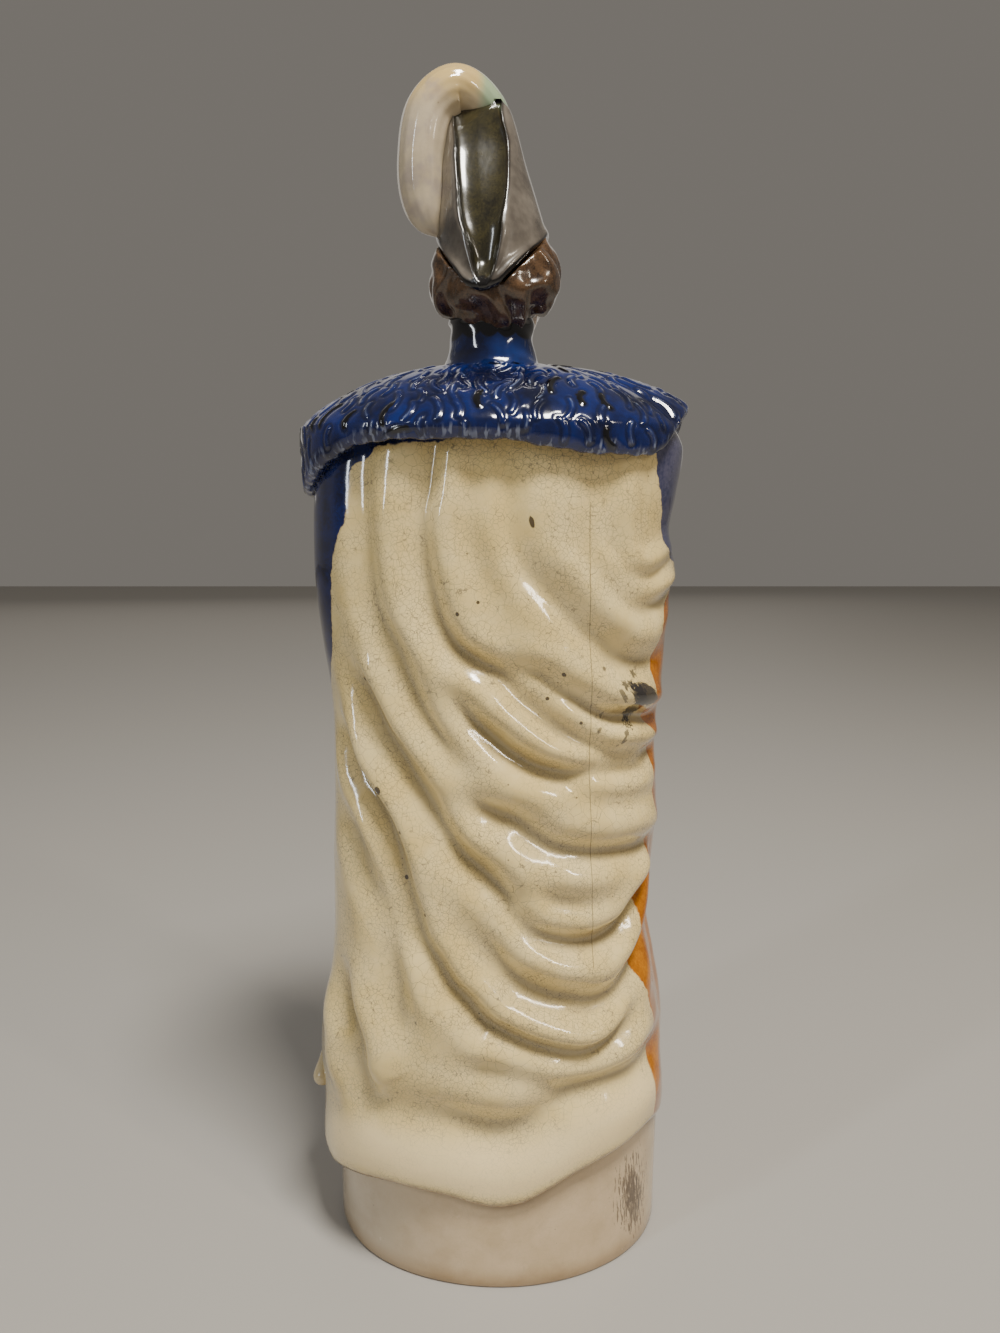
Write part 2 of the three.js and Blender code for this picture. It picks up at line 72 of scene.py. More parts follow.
def through(knots):
    """A smooth function through (at, value) knots, flat beyond the first and the last."""
    at, value = (np.array(column, float) for column in zip(*knots))
    slope = np.diff(value) / np.diff(at)
    tangent = np.zeros(len(at))
    same = slope[:-1] * slope[1:] > 0
    middle = 2 * slope[:-1] * slope[1:] / np.where(same, slope[:-1] + slope[1:], 1)
    tangent[1:-1] = np.where(same, middle, 0)

    def curve(x):
        x = np.clip(x, at[0], at[-1])
        i = np.clip(np.searchsorted(at, x, side="right") - 1, 0, len(at) - 2)
        span = at[i + 1] - at[i]
        t = (x - at[i]) / span
        rise = t * t * (3 - 2 * t)
        bend = tangent[i] * t * (1 - t) ** 2 - tangent[i + 1] * t * t * (1 - t)
        return value[i] * (1 - rise) + value[i + 1] * rise + bend * span

    return curve


def smooth(low, high, x):
    """0 below low, 1 above high and a smooth step between them."""
    t = np.clip((x - low) / (high - low), 0, 1)
    return t * t * (3 - 2 * t)


def oval(bearing, reach, squareness=2.3):
    """x and y at a bearing on an oval whose four reaches may differ."""
    s, c = np.sin(np.radians(bearing)), np.cos(np.radians(bearing))
    wide = np.where(s > 0, reach["right"], reach["left"])
    deep = np.where(c > 0, reach["back"], reach["front"])
    fill = (np.abs(s) ** squareness + np.abs(c) ** squareness) ** (-1 / squareness)
    return -wide * s * fill, deep * c * fill


def spline(stops, steps):
    """Points, or rows of points, on a smooth curve through the stops.

    Steps is the count for every stretch, or a list with each stretch's own count."""
    stops = np.array(stops, float)
    ends = np.concatenate([2 * stops[:1] - stops[1:2], stops, 2 * stops[-1:] - stops[-2:-1]])
    counts = np.broadcast_to(steps, len(stops) - 1)
    parts = []
    for a, b, c, d, count in zip(ends, ends[1:], ends[2:], ends[3:], counts):
        t = np.linspace(0, 1, count, endpoint=False).reshape(-1, *[1] * a.ndim)
        bend = (2 * a - 5 * b + 4 * c - d) * t**2 + (3 * b - a - 3 * c + d) * t**3
        parts.append(0.5 * (2 * b + (c - a) * t + bend))
    return np.concatenate(parts + [stops[-1:]])


def crowded(count, crowding=24.0):
    """Bearings right round, closer together across the back."""
    turn = np.arange(count) / count - 0.5
    return 360 * turn - crowding * np.sin(2 * np.pi * turn)


def closed_grid(rows, bottom, top):
    """Points and faces of a closed surface from rows of points and a pole at each end."""
    count, columns = rows.shape[:2]
    points = np.vstack([rows.reshape(-1, 3), [bottom], [top]])
    start = np.arange(count * columns).reshape(count, columns)
    after = np.roll(start, -1, axis=1)
    quads = np.stack([start[:-1], after[:-1], after[1:], start[1:]], axis=-1).reshape(-1, 4)
    under = np.stack([after[0], start[0], np.full(columns, count * columns)], axis=-1)
    over = np.stack([start[-1], after[-1], np.full(columns, count * columns + 1)], axis=-1)
    return points, quads.tolist() + under.tolist() + over.tolist()


def face_edges(faces):
    """Each pair of neighbouring corners, in both directions."""
    quads = np.array([face for face in faces if len(face) == 4] or np.zeros((0, 4)), int)
    others = np.array([face for face in faces if len(face) == 3] or np.zeros((0, 3)), int)
    pairs = []
    for ring in (quads, others):
        pairs.append(np.stack([ring, np.roll(ring, -1, axis=1)], axis=-1).reshape(-1, 2))
    pairs = np.vstack(pairs)
    return np.vstack([pairs, pairs[:, ::-1]])


def hollows(points, faces, normals, passes):
    """How far below its smoothed surroundings each point lies, in millimetres: where glaze pools and where
    shade is painted.
    """
    pairs = face_edges(faces)
    share = np.maximum(np.bincount(pairs[:, 0], minlength=len(points)), 1)[:, None]
    calm = points.copy()
    for _ in range(passes):
        moved = [np.bincount(pairs[:, 0], calm[pairs[:, 1], axis], len(points)) for axis in range(3)]
        calm = 0.5 * calm + 0.5 * np.stack(moved, axis=-1) / share
    return np.einsum("ij,ij->i", calm - points, normals)


def new_piece(name, points, faces, material, masks=None, hollow_passes=14):
    """A smooth mesh from points in drawn millimetres, with its masks as attributes."""
    mesh = bpy.data.meshes.new(name)
    mesh.from_pydata((points * TO_FRAME * MILLIMETRE).tolist(), [], faces)
    mesh.validate()
    mesh.shade_smooth()
    normals = np.zeros(len(mesh.vertices) * 3, np.float32)
    mesh.vertices.foreach_get("normal", normals)
    normals = normals.reshape(-1, 3)
    values = dict(masks or {})
    values["hollow"] = hollows(points, faces, normals, hollow_passes)
    for mask, value in values.items():
        attribute = mesh.attributes.new(mask, "FLOAT", "POINT")
        attribute.data.foreach_set("value", np.asarray(value, np.float32).ravel())
    mesh.materials.append(material)
    piece = bpy.data.objects.new(name, mesh)
    bpy.context.scene.collection.objects.link(piece)
    return piece


def fit_to_frame(piece):
    """The piece stands for the solid and moves with it."""
    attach(piece, "root")
    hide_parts("figure")


# Sculpted forms as distances, and the mesh of what they enclose


def ball(p, centre, radii):
    """Distance to an ellipsoid, true near its surface."""
    q = (p - np.array(centre, np.float32)) / np.array(radii, np.float32)
    k = np.sqrt((q * q).sum(-1))
    slope = np.sqrt(((q / np.array(radii, np.float32)) ** 2).sum(-1))
    return k * (k - 1) / np.maximum(slope, 1e-5)


def rod(p, start, end):
    """Distance to a tapered rod between two (x, y, z, radius) ends."""
    a, b = np.array(start[:3], np.float32), np.array(end[:3], np.float32)
    along = b - a
    t = np.clip(((p - a) @ along) / (along @ along), 0, 1)
    away = p - a - t[..., None] * along
    return np.sqrt((away * away).sum(-1)) - (start[3] + (end[3] - start[3]) * t)


def melt(distances, soft):
    """The union of forms, with glaze filling the joins."""
    whole = distances[0]
    for other in distances[1:]:
        h = np.clip(0.5 + 0.5 * (other - whole) / soft, 0, 1)
        whole = other * (1 - h) + whole * h - soft * h * (1 - h)
    return whole


def both(one, other, soft):
    """What lies inside both forms, with the edge between them rounded."""
    return -melt([-one, -other], soft)


def column(p, wide, deep_back, deep_front, squareness=2.2, middle=0.0):
    """Distance to an upright form of oval section."""
    x, y = np.abs(p[..., 0]), p[..., 1] - middle
    deep = np.where(y > 0, deep_back, deep_front)
    q = ((x / wide) ** squareness + (np.abs(y) / deep) ** squareness) ** (1 / squareness)
    return (q - 1) * np.minimum(wide, deep)


def crossed_edges(value, axis):
    """Where the surface crosses the grid's edges along an axis, and whether each lower end is solid."""
    lower = tuple(slice(0, -1) if i == axis else slice(None) for i in range(3))
    upper = tuple(slice(1, None) if i == axis else slice(None) for i in range(3))
    inside = value < 0
    crossed = inside[lower] != inside[upper]
    at = np.argwhere(crossed)
    a, b = value[lower][crossed], value[upper][crossed]
    place = at.astype(np.float32)
    place[:, axis] += a / (a - b)
    return at, place, inside[lower][crossed]


def cells_round(at, axis):
    """The four cells that share each grid edge, in order round it."""
    u, v = [i for i in range(3) if i != axis]
    cells = []
    for du, dv in ((0, 0), (1, 0), (1, 1), (0, 1)):
        cell = at.copy()
        cell[:, u] -= du
        cell[:, v] -= dv
        cells.append(cell)
    return cells


def sculpt(form, low, high, step):
    """The closed surface where form(points) is zero: one point in each crossed cell, set on it."""
    axes = [np.arange(a, b + step, step, dtype=np.float32) for a, b in zip(low, high)]
    value = form(np.stack(np.meshgrid(*axes, indexing="ij"), axis=-1))
    cells = np.array(value.shape) - 1
    total = np.zeros((*cells, 3), np.float32)
    hits = np.zeros(cells, np.int32)
    crossings = [crossed_edges(value, axis) for axis in range(3)]
    for axis, (at, place, _) in enumerate(crossings):
        first, second, third, fourth = cells_round(at, axis)
        for cell in (first, fourth, second, third):
            good = ((cell >= 0) & (cell < cells)).all(1)
            key = tuple(cell[good].T)
            np.add.at(total, key, place[good])
            np.add.at(hits, key, 1)
    used = hits > 0
    index = np.full(cells, -1)
    index[used] = np.arange(used.sum())
    quads = []
    for axis, (at, _, solid_below) in enumerate(crossings):
        corners = [index[tuple(np.clip(cell, 0, cells - 1).T)] for cell in cells_round(at, axis)]
        quad = np.stack(corners, axis=-1)
        turned = solid_below if axis != 1 else ~solid_below
        quad[~turned] = quad[~turned][:, ::-1]
        quads.append(quad)
    points = total[used] / hits[used][:, None] * step + np.array([axis[0] for axis in axes])
    return settle(form, points, step), np.vstack(quads).tolist()


def settle(form, points, step, rounds=3):
    """Moves points down the form's slope on to its surface."""
    reach = 0.05 * step
    for _ in range(rounds):
        value = form(points)
        slope = np.empty_like(points)
        for axis in range(3):
            ahead = points.copy()
            ahead[:, axis] += reach
            slope[:, axis] = (form(ahead) - value) / reach
        size = np.maximum((slope * slope).sum(-1), 0.05)
        points = points - np.clip(value / size, -0.5 * step, 0.5 * step)[:, None] * slope
    return points


def paint_masks(forms):
    """For each painted part, how far inside its own area each point lies, in millimetres."""
    masks = {}
    for name, distance in forms.items():
        others = np.min([other for key, other in forms.items() if key != name], axis=0)
        masks[name] = others - distance
    return masks


# Nodes


class Tree:
    """Adds nodes to a shader or geometry tree and joins them up."""

    def __init__(self, tree):
        self.tree = tree

    def add(self, kind, inputs=None, **settings):
        node = self.tree.nodes.new(kind)
        for key, value in settings.items():
            setattr(node, key, value)
        for key, value in (inputs or {}).items():
            self.feed(node.inputs[key], value)
        return node

    def feed(self, socket, value):
        if isinstance(value, bpy.types.NodeSocket):
            self.tree.links.new(value, socket)
        elif hasattr(socket.default_value, "__len__") and len(socket.default_value) == 4:
            socket.default_value = (*value, 1.0) if len(value) == 3 else value
        else:
            socket.default_value = value

    def feed_first(self, node, name, value):
        """Feeds the input of that name that is in use, where a node keeps one for each data type."""
        self.feed(next(socket for socket in node.inputs if socket.name == name and socket.enabled), value)

    def math(self, operation, *values):
        kind = "ShaderNodeMath"
        return self.add(kind, dict(enumerate(values)), operation=operation).outputs[0]

    def times(self, *values):
        return self.math("MULTIPLY", *values)

    def plus(self, *values):
        return self.math("ADD", *values)

    def vector(self, operation, *values, out="Vector"):
        node = self.add("ShaderNodeVectorMath", operation=operation)
        for socket, value in zip(node.inputs, values):
            self.feed(socket, value)
        return node.outputs[out]

    def scaled(self, vector, factor):
        node = self.add("ShaderNodeVectorMath", {0: vector, "Scale": factor}, operation="SCALE")
        return node.outputs[0]

    def rise(self, value, low, high):
        """0 below low, 1 above high and a smooth step between them."""
        values = {"Value": value, "From Min": low, "From Max": high}
        node = self.add("ShaderNodeMapRange", values, interpolation_type="SMOOTHSTEP")
        return node.outputs["Result"]

    def mix(self, mask, below, above):
        node = self.add("ShaderNodeMix", data_type="RGBA")
        for key, value in ((0, mask), (6, below), (7, above)):
            self.feed(node.inputs[key], value)
        return node.outputs[2]

    def noise(self, place, size, detail=2.0, roughness=0.5):
        scale = self.math("DIVIDE", 1.0, size)
        values = {"Vector": place, "Scale": scale, "Detail": detail, "Roughness": roughness}
        return self.add("ShaderNodeTexNoise", values).outputs["Fac"]

    def attribute(self, name):
        return self.add("ShaderNodeAttribute", attribute_name=name).outputs["Fac"]

    def group(self, name, inputs):
        node = self.add("ShaderNodeGroup", node_tree=bpy.data.node_groups[name])
        for key, value in inputs.items():
            self.feed(node.inputs[key], value)
        return node.outputs[0]


def new_group(name, inputs, output):
    """An empty shader group with named inputs and one output, and its two end nodes."""
    group = bpy.data.node_groups.new(name, "ShaderNodeTree")
    for label, kind, default in inputs:
        socket = group.interface.new_socket(label, in_out="INPUT", socket_type=kind)
        if default is not None:
            socket.default_value = default
    group.interface.new_socket(output, in_out="OUTPUT", socket_type="NodeSocketFloat")
    tree = Tree(group)
    return tree, tree.add("NodeGroupInput").outputs, tree.add("NodeGroupOutput").inputs[0]


NUMBER = "NodeSocketFloat"
PLACE = ("Place", "NodeSocketVector", None)


def build_crackle_group():
    """Fine crazing: a net of hair cracks, with a coarser net in places."""
    inputs = [PLACE, ("Cell", NUMBER, 2.0), ("Line", NUMBER, 0.07)]
    tree, given, result = new_group("Glaze Crackle", inputs, "Lines")
    wander = tree.add("ShaderNodeTexNoise", {"Vector": given["Place"], "Scale": 0.35, "Detail": 2.0})
    shift = tree.scaled(wander.outputs["Color"], 1.6)
    place = tree.vector("ADD", given["Place"], shift)
    nets = []
    for factor in (1.0, 2.7):
        scale = tree.math("DIVIDE", 1.0, tree.times(given["Cell"], factor))
        values = {"Vector": place, "Scale": scale}
        cells = tree.add("ShaderNodeTexVoronoi", values, feature="DISTANCE_TO_EDGE")
        width = tree.times(given["Line"], scale)
        line = tree.rise(cells.outputs["Distance"], width, 0.0)
        patches = tree.rise(tree.noise(given["Place"], 11.0 * factor), 0.3, 0.58)
        nets.append(tree.times(line, patches))
    tree.feed(result, tree.math("MAXIMUM", *nets))


def build_specks_group():
    """Small dark specks of iron burnt through the glaze."""
    inputs = [PLACE, ("Spacing", NUMBER, 5.0), ("Size", NUMBER, 0.35), ("Share", NUMBER, 0.4)]
    tree, given, result = new_group("Kiln Specks", inputs, "Mask")
    scale = tree.math("DIVIDE", 1.0, given["Spacing"])
    cells = tree.add("ShaderNodeTexVoronoi", {"Vector": given["Place"], "Scale": scale})
    chance = tree.add("ShaderNodeSeparateColor", {"Color": cells.outputs["Color"]})
    size = tree.times(given["Size"], tree.math("POWER", chance.outputs[0], 2.0))
    edge = tree.times(size, scale)
    spot = tree.rise(cells.outputs["Distance"], edge, tree.times(edge, 0.5))
    chosen = tree.math("LESS_THAN", chance.outputs[1], given["Share"])
    tree.feed(result, tree.times(spot, chosen))


def build_mottle_group():
    """Brushed colour lying thick and thin: broad clouds, brush streaks and a fine grain."""
    inputs = [PLACE, ("Size", NUMBER, 6.0), ("Grain", NUMBER, 0.4)]
    tree, given, result = new_group("Brushed Mottle", inputs, "Tone")
    clouds = tree.noise(given["Place"], given["Size"], 3.0, 0.55)
    fine = tree.noise(given["Place"], tree.times(given["Size"], 0.13), 2.0, 0.6)
    mixed = tree.add("ShaderNodeMix", data_type="FLOAT")
    for key, value in ((0, given["Grain"]), (2, clouds), (3, fine)):
        tree.feed(mixed.inputs[key], value)
    tree.feed(result, tree.rise(mixed.outputs[0], 0.3, 0.7))


def build_edge_group():
    """A brushed edge: painted where Depth is above nothing, give or take a ragged stroke."""
    inputs = [("Depth", NUMBER, 0.0), PLACE, ("Ragged", NUMBER, 1.0), ("Soft", NUMBER, 0.35)]
    tree, given, result = new_group("Brushed Edge", inputs, "Mask")
    waves = tree.math("SUBTRACT", tree.noise(given["Place"], 3.2, 3.0, 0.6), 0.5)
    depth = tree.math("MULTIPLY_ADD", waves, tree.times(given["Ragged"], 2.0), given["Depth"])
    half = given["Soft"]
    tree.feed(result, tree.rise(depth, tree.times(half, -1.0), half))


def build_dab_group():
    """One dab, speck or smear of colour at a place, drawn out along a direction."""
    inputs = [
        PLACE,
        ("Centre", "NodeSocketVector", None),
        ("Along", "NodeSocketVector", None),
        ("Length", NUMBER, 1.0),
        ("Width", NUMBER, 1.0),
        ("Bristle", NUMBER, 0.3),
    ]
    tree, given, result = new_group("Dab", inputs, "Mask")
    away = tree.vector("SUBTRACT", given["Place"], given["Centre"])
    along = tree.vector("DOT_PRODUCT", away, given["Along"], out="Value")
    total = tree.vector("LENGTH", away, out="Value")
    across2 = tree.math("SUBTRACT", tree.math("POWER", total, 2.0), tree.math("POWER", along, 2.0))
    across = tree.math("SQRT", tree.math("MAXIMUM", across2, 0.0))
    a = tree.math("POWER", tree.math("DIVIDE", along, given["Length"]), 2.0)
    b = tree.math("POWER", tree.math("DIVIDE", across, given["Width"]), 2.0)
    reach = tree.math("SQRT", tree.plus(a, b))
    hair = tree.scaled(given["Along"], tree.times(along, -0.85))
    streak = tree.noise(tree.vector("ADD", away, hair), 0.8, 3.0, 0.6)
    rough = tree.times(tree.math("SUBTRACT", streak, 0.5), given["Bristle"])
    wobble = tree.math("MULTIPLY_ADD", rough, 4.0, reach)
    tree.feed(result, tree.rise(wobble, 1.12, 0.88))


def build_ripple_group():
    """The glaze's own slow ripple and the soft pits of the mould under it."""
    inputs = [PLACE, ("Size", NUMBER, 7.0)]
    tree, given, result = new_group("Glaze Ripple", inputs, "Height")
    slow = tree.noise(given["Place"], given["Size"], 1.0, 0.4)
    quick = tree.noise(given["Place"], tree.times(given["Size"], 0.27), 1.0, 0.4)
    tree.feed(result, tree.math("MULTIPLY_ADD", quick, 0.25, slow))


DARK_CRAZE = (0.16, 0.13, 0.09)
BURNT_IRON = (0.06, 0.045, 0.035)
# Kiln specks: fine ones close together and larger ones far apart, in millimetres, and their share.
SPECK_SIZES = ((3.1, 0.42, 0.5), (11.0, 1.0, 0.35))


def speckled(tree, place, colour, amount):
    for spacing, size, share in SPECK_SIZES:
        values = {"Place": place, "Spacing": spacing, "Size": size, "Share": share * amount}
        mask = tree.group("Kiln Specks", values)
        colour = tree.mix(tree.times(mask, 0.75), colour, BURNT_IRON)
    return colour


def painted(tree, place, colour, paints):
    """Brushed colours, each given as (mask attribute, thin colour, thick colour, ragged, mottle size)."""
    for attribute, thin, thick, ragged, size in paints:
        values = {"Depth": tree.attribute(attribute), "Place": place, "Ragged": ragged}
        mask = tree.group("Brushed Edge", values)
        mottle = tree.group("Brushed Mottle", {"Place": place, "Size": size, "Grain": 0.45})
        colour = tree.mix(mask, colour, tree.mix(mottle, thin, thick))
    return colour


def dabbed(tree, place, colour, dabs):
    """Dabs, each given as (centre, direction, length, width, bristle, stain, strength)."""
    for centre, along, length, width, bristle, stain, strength in dabs:
        values = {"Place": place, "Centre": centre, "Along": along}
        values.update({"Length": length, "Width": width, "Bristle": bristle})
        mask = tree.times(tree.group("Dab", values), strength)
        colour = tree.mix(mask, colour, stain)
    return colour


def edged(tree, colour, attribute, width, stain):
    """A dark line where a mask crosses nothing."""
    distance = tree.math("ABSOLUTE", tree.attribute(attribute))
    return tree.mix(tree.times(tree.rise(distance, width, 0.3 * width), 0.75), colour, stain)


def glazed_material(name, ground, paints=(), dabs=(), edge_lines=None, shine=0.1, **options):
    """Glazed earthenware: a ground colour, pooled glaze with painted shade in the hollows, crazing and
    specks, then paints, dabs, an edge line as (mask attribute, width, stain), and the piece's own grime and
    painted light."""
    material = bpy.data.materials.new(name)
    material.use_nodes = True
    material.node_tree.nodes.clear()
    tree = Tree(material.node_tree)
    out = tree.add("ShaderNodeOutputMaterial")
    coat = {"IOR": 1.5, "Coat Weight": 0.6, "Coat Roughness": 0.04}
    shader = tree.add("ShaderNodeBsdfPrincipled", coat)
    tree.feed(out.inputs["Surface"], shader.outputs["BSDF"])
    place = tree.scaled(tree.add("ShaderNodeTexCoord").outputs["Object"], 1 / MILLIMETRE)
    tone = tree.group("Brushed Mottle", {"Place": place, "Size": 16.0, "Grain": 0.15})
    colour = tree.mix(tone, *ground)
    # Darker in the hollows: pooled glaze, and painted shade where creases and valleys fall in shadow.
    pool_from, pool_to = options.get("pool_from", 0.05), options.get("pool_to", 0.55)
    pooled = tree.rise(tree.attribute("hollow"), pool_from, pool_to)
    pool = options.get("pool", (0.30, 0.27, 0.20))
    colour = tree.mix(tree.times(pooled, options.get("pool_share", 0.6)), colour, pool)
    lines = tree.group("Glaze Crackle", {"Place": place, "Cell": options.get("cell", 1.9), "Line": 0.075})
    lines = tree.times(lines, options.get("craze", 0.4))
    colour = tree.mix(lines, colour, DARK_CRAZE)
    if options.get("specks", 1.0):
        colour = speckled(tree, place, colour, options.get("specks", 1.0))
    colour = painted(tree, place, colour, paints)
    colour = dabbed(tree, place, colour, dabs)
    if edge_lines:
        colour = edged(tree, colour, *edge_lines)
    # The piece's own grime, and on some pieces painted highlights and shadows.
    if "grime" in options:
        colour = options["grime"](tree, place, colour)
    tree.feed(shader.inputs["Base Color"], colour)
    rough = tree.noise(place, 5.0, 3.0)
    tree.feed(shader.inputs["Roughness"], tree.math("MULTIPLY_ADD", rough, 0.5 * shine, shine))
    ripple = tree.group("Glaze Ripple", {"Place": place, "Size": 8.0})
    height = tree.math("MULTIPLY_ADD", lines, -0.02, ripple)
    bump = tree.add("ShaderNodeBump", {"Strength": 0.35, "Distance": 0.0004, "Height": height})
    tree.feed(shader.inputs["Normal"], bump.outputs["Normal"])
    return material


# The cloak


# The valleys between the swags: how deep, how wide, and the (bearing, height) stops along each.
SWAGS = (
    (2.6, 1, (
        (-18.5, 292), (-20, 267), (-21.5, 258.5), (-22, 249.5), (-21, 240.5), (-18.5, 228), (-16, 222),
        (-12, 216.5), (-6.5, 212.5), (-0.5, 209), (6.5, 203), (12, 198.5), (20, 192.5), (28.5, 187),
        (39, 182.5), (52.5, 181), (62, 180), (84, 179),
    )),
    (1.8, 1, (
        (-6.5, 290), (-7.5, 265), (-8, 253.5), (-6, 245.5), (-3, 237.5), (1.5, 229), (6.5, 223.5),
    )),
    (2, 1.2, (
        (1.5, 288), (3, 261.5), (5, 248), (9, 240.5), (14, 236), (20.5, 230), (27.5, 223),
        (34.5, 217.5), (41, 213), (52.5, 210.5), (75, 210),
    )),
    (2.6, 1, (
        (-5, 221), (2.5, 215), (7.5, 211), (13.5, 207.5), (19.5, 203), (26.5, 199), (33, 195.5),
        (40, 193.5), (50, 192.5), (66, 190.5), (86, 191),
    )),
    (2.4, 1, (
        (-18, 208), (-13.5, 201), (-7, 193), (-1.5, 188.5), (5, 183.5), (12.5, 179.5), (20.5, 177.5),
        (34.5, 176), (55, 174), (75, 172),
    )),
    (1.2, 0.9, (
        (12, 175.5), (20.5, 173), (31, 168.5), (48, 166), (75, 164),
    )),
    (2.2, 1.2, (
        (-19, 174), (-11, 168.5), (-1.5, 164.5), (6.5, 161.5), (13, 156.5), (20.5, 152.5),
        (34.5, 149.5), (53, 148), (86, 145),
    )),
    (1.9, 1.1, (
        (-42, 292), (-41, 267.5), (-39.5, 244.5), (-37.5, 228), (-31.5, 216), (-28.5, 206),
        (-24.5, 197), (-19, 189), (-12.5, 182), (-5.5, 176.5),
    )),
    (2.4, 1.15, (
        (-53, 217.5), (-50.5, 209), (-46, 202.5), (-42, 195.5), (-38, 188.5), (-32.5, 182), (-28, 175),
        (-23.5, 168.5), (-18, 159.5), (-12, 151), (-4, 144), (2, 137.5), (5.5, 131), (12, 125.5),
        (20, 122.5), (29, 120.5), (38, 120), (48.5, 122), (58, 129), (84, 144),
    )),
    (1.2, 1.2, (
        (4, 144.5), (8, 141.5), (14.5, 137), (22, 134.5), (30, 133), (46, 132.5),
    )),
    (2.8, 1.05, (
        (-66.5, 194.5), (-57, 184), (-51.5, 174.5), (-44.5, 167.5), (-38.5, 160.5), (-34, 151),
        (-30.5, 140), (-27.5, 131.5), (-24.5, 122.5), (-20, 115.5), (-15, 107.5), (-9.5, 102),
        (-4, 95.5), (2, 92), (9.5, 88.5), (17.5, 85.5), (26, 83), (33.5, 83), (42, 85.5), (52, 90),
        (64, 97),
    )),
    (2.4, 1.5, (
        (-13.5, 135), (-8.5, 128.5), (-3.5, 121.5), (2.5, 113.5), (9.5, 108), (17.5, 104), (27, 101),
        (35, 99), (45, 99.5), (53, 103), (63.5, 108.5), (84, 121),
    )),
    (1.9, 1.4, (
        (-63, 166), (-53.5, 154), (-47.5, 146.5), (-42.5, 138.5), (-37.5, 130), (-35, 122.5),
        (-34, 110.5), (-33, 100.5), (-31, 88), (-29, 78),
    )),
    (3.0, 1.5, (
        (-66, 110), (-60, 101.5), (-55, 92), (-48.5, 83), (-47, 74), (-43.5, 66), (-38, 62),
        (-32.5, 59.5),
    )),
    (1.4, 1.4, (
        (-17, 87), (-10.5, 80.5), (-1, 79.5), (9.5, 77), (18.5, 73.5), (28.5, 71.5), (38.5, 71),
        (52.5, 70), (84, 76),
    )),
    (0.9, 0.8, (
        (10.5, 62), (16, 63.5), (21, 65.5), (31, 66.5),
    )),
    (1.6, 1, (
        (27, 292), (27.5, 266), (28, 249.5), (29.5, 242), (34.5, 236), (44.5, 230.5), (56.5, 229),
        (75, 232), (90, 238),
    )),
    (1.9, 0.9, (
        (33, 292), (33.5, 269.5), (35.5, 252.5), (37.5, 245), (41, 240), (50, 237.5), (66, 241),
        (92, 243),
    )),
)
# Millimetres of cloth to a degree of bearing, where folds and where paint are measured.
ALONG_CLOTH = np.radians(50.0)
PAINT_ARC = 0.9
UPPER_SIDE = {"valley": 3.7, "crest_at": 6.6, "crest_wide": 3.9, "crest": 0.5}
LOWER_SIDE = {"valley": 4.2, "crest_at": 7.4, "crest_wide": 4.2, "crest": 0.34}
SWAG_STRENGTH = 1.42
# How far along a valley it takes to sink in, and the bearing past which the cloak is plain.
SWAG_FADE = 20.0
SWAG_END = 95.0
BACK_LIMIT = 49.7
HEM_THICKNESS = 5.0
CLOAK_TOP = 286.0
CLOAK_FLOOR = 31.0
# How far the cloak reaches each way at each height, before its folds.
CLOAK_REACH = {
    "left": through((
        (20, 61.5), (36, 64.5), (66, 64.6), (82, 63.6), (98, 60.2), (118, 58.6), (140, 58.3),
        (160, 57.4), (186, 57), (200, 57.8), (214, 59.8), (228, 61.4), (242, 62.2), (255, 62),
        (268, 61.2), (288, 58),
    )),
    "right": through((
        (20, 59.5), (52, 60.6), (68, 60), (82, 58), (97, 54.8), (116, 51.6), (134, 53.8), (156, 55.6),
        (180, 54.6), (205, 56.6), (226, 57.8), (241, 60.3), (250, 57.4), (264, 59.6), (278, 61.6),
        (288, 58),
    )),
    "back": through((
        (20, 50), (50, 49.4), (80, 47), (110, 44.6), (150, 42.6), (200, 42), (256, 41.6), (288, 38),
    )),
    "front": through(((20, 40), (60, 38), (120, 34), (200, 32), (288, 27))),
}
# The height of the hem at each bearing, and the bearings of the front edges at each height.
HEM = through((
    (-180, 29), (-140, 28), (-112, 22), (-90, 20), (-70, 25), (-51, 31.6), (-32, 34.9), (-18, 34.1),
    (0, 30.4), (7, 31.4), (15, 35), (27, 40.8), (39, 43.6), (56, 46), (70, 43), (90, 35), (112, 33),
    (145, 29), (180, 29),
))
LEFT_EDGE = through(((30, -124), (70, -120), (130, -112), (200, -112), (270, -122)))
RIGHT_EDGE = through(((30, 118), (60, 110), (105, 100), (130, 104), (200, 112), (270, 122)))


def fold_profile(away, valley, crest_at, crest_wide, crest):
    """A valley at nothing, and a rounded crest beside it."""
    rise = crest * np.exp(-(((away - crest_at) / crest_wide) ** 2))
    start = crest * np.exp(-((crest_at / crest_wide) ** 2))
    return rise - (1 + start) * np.exp(-((away / valley) ** 2))


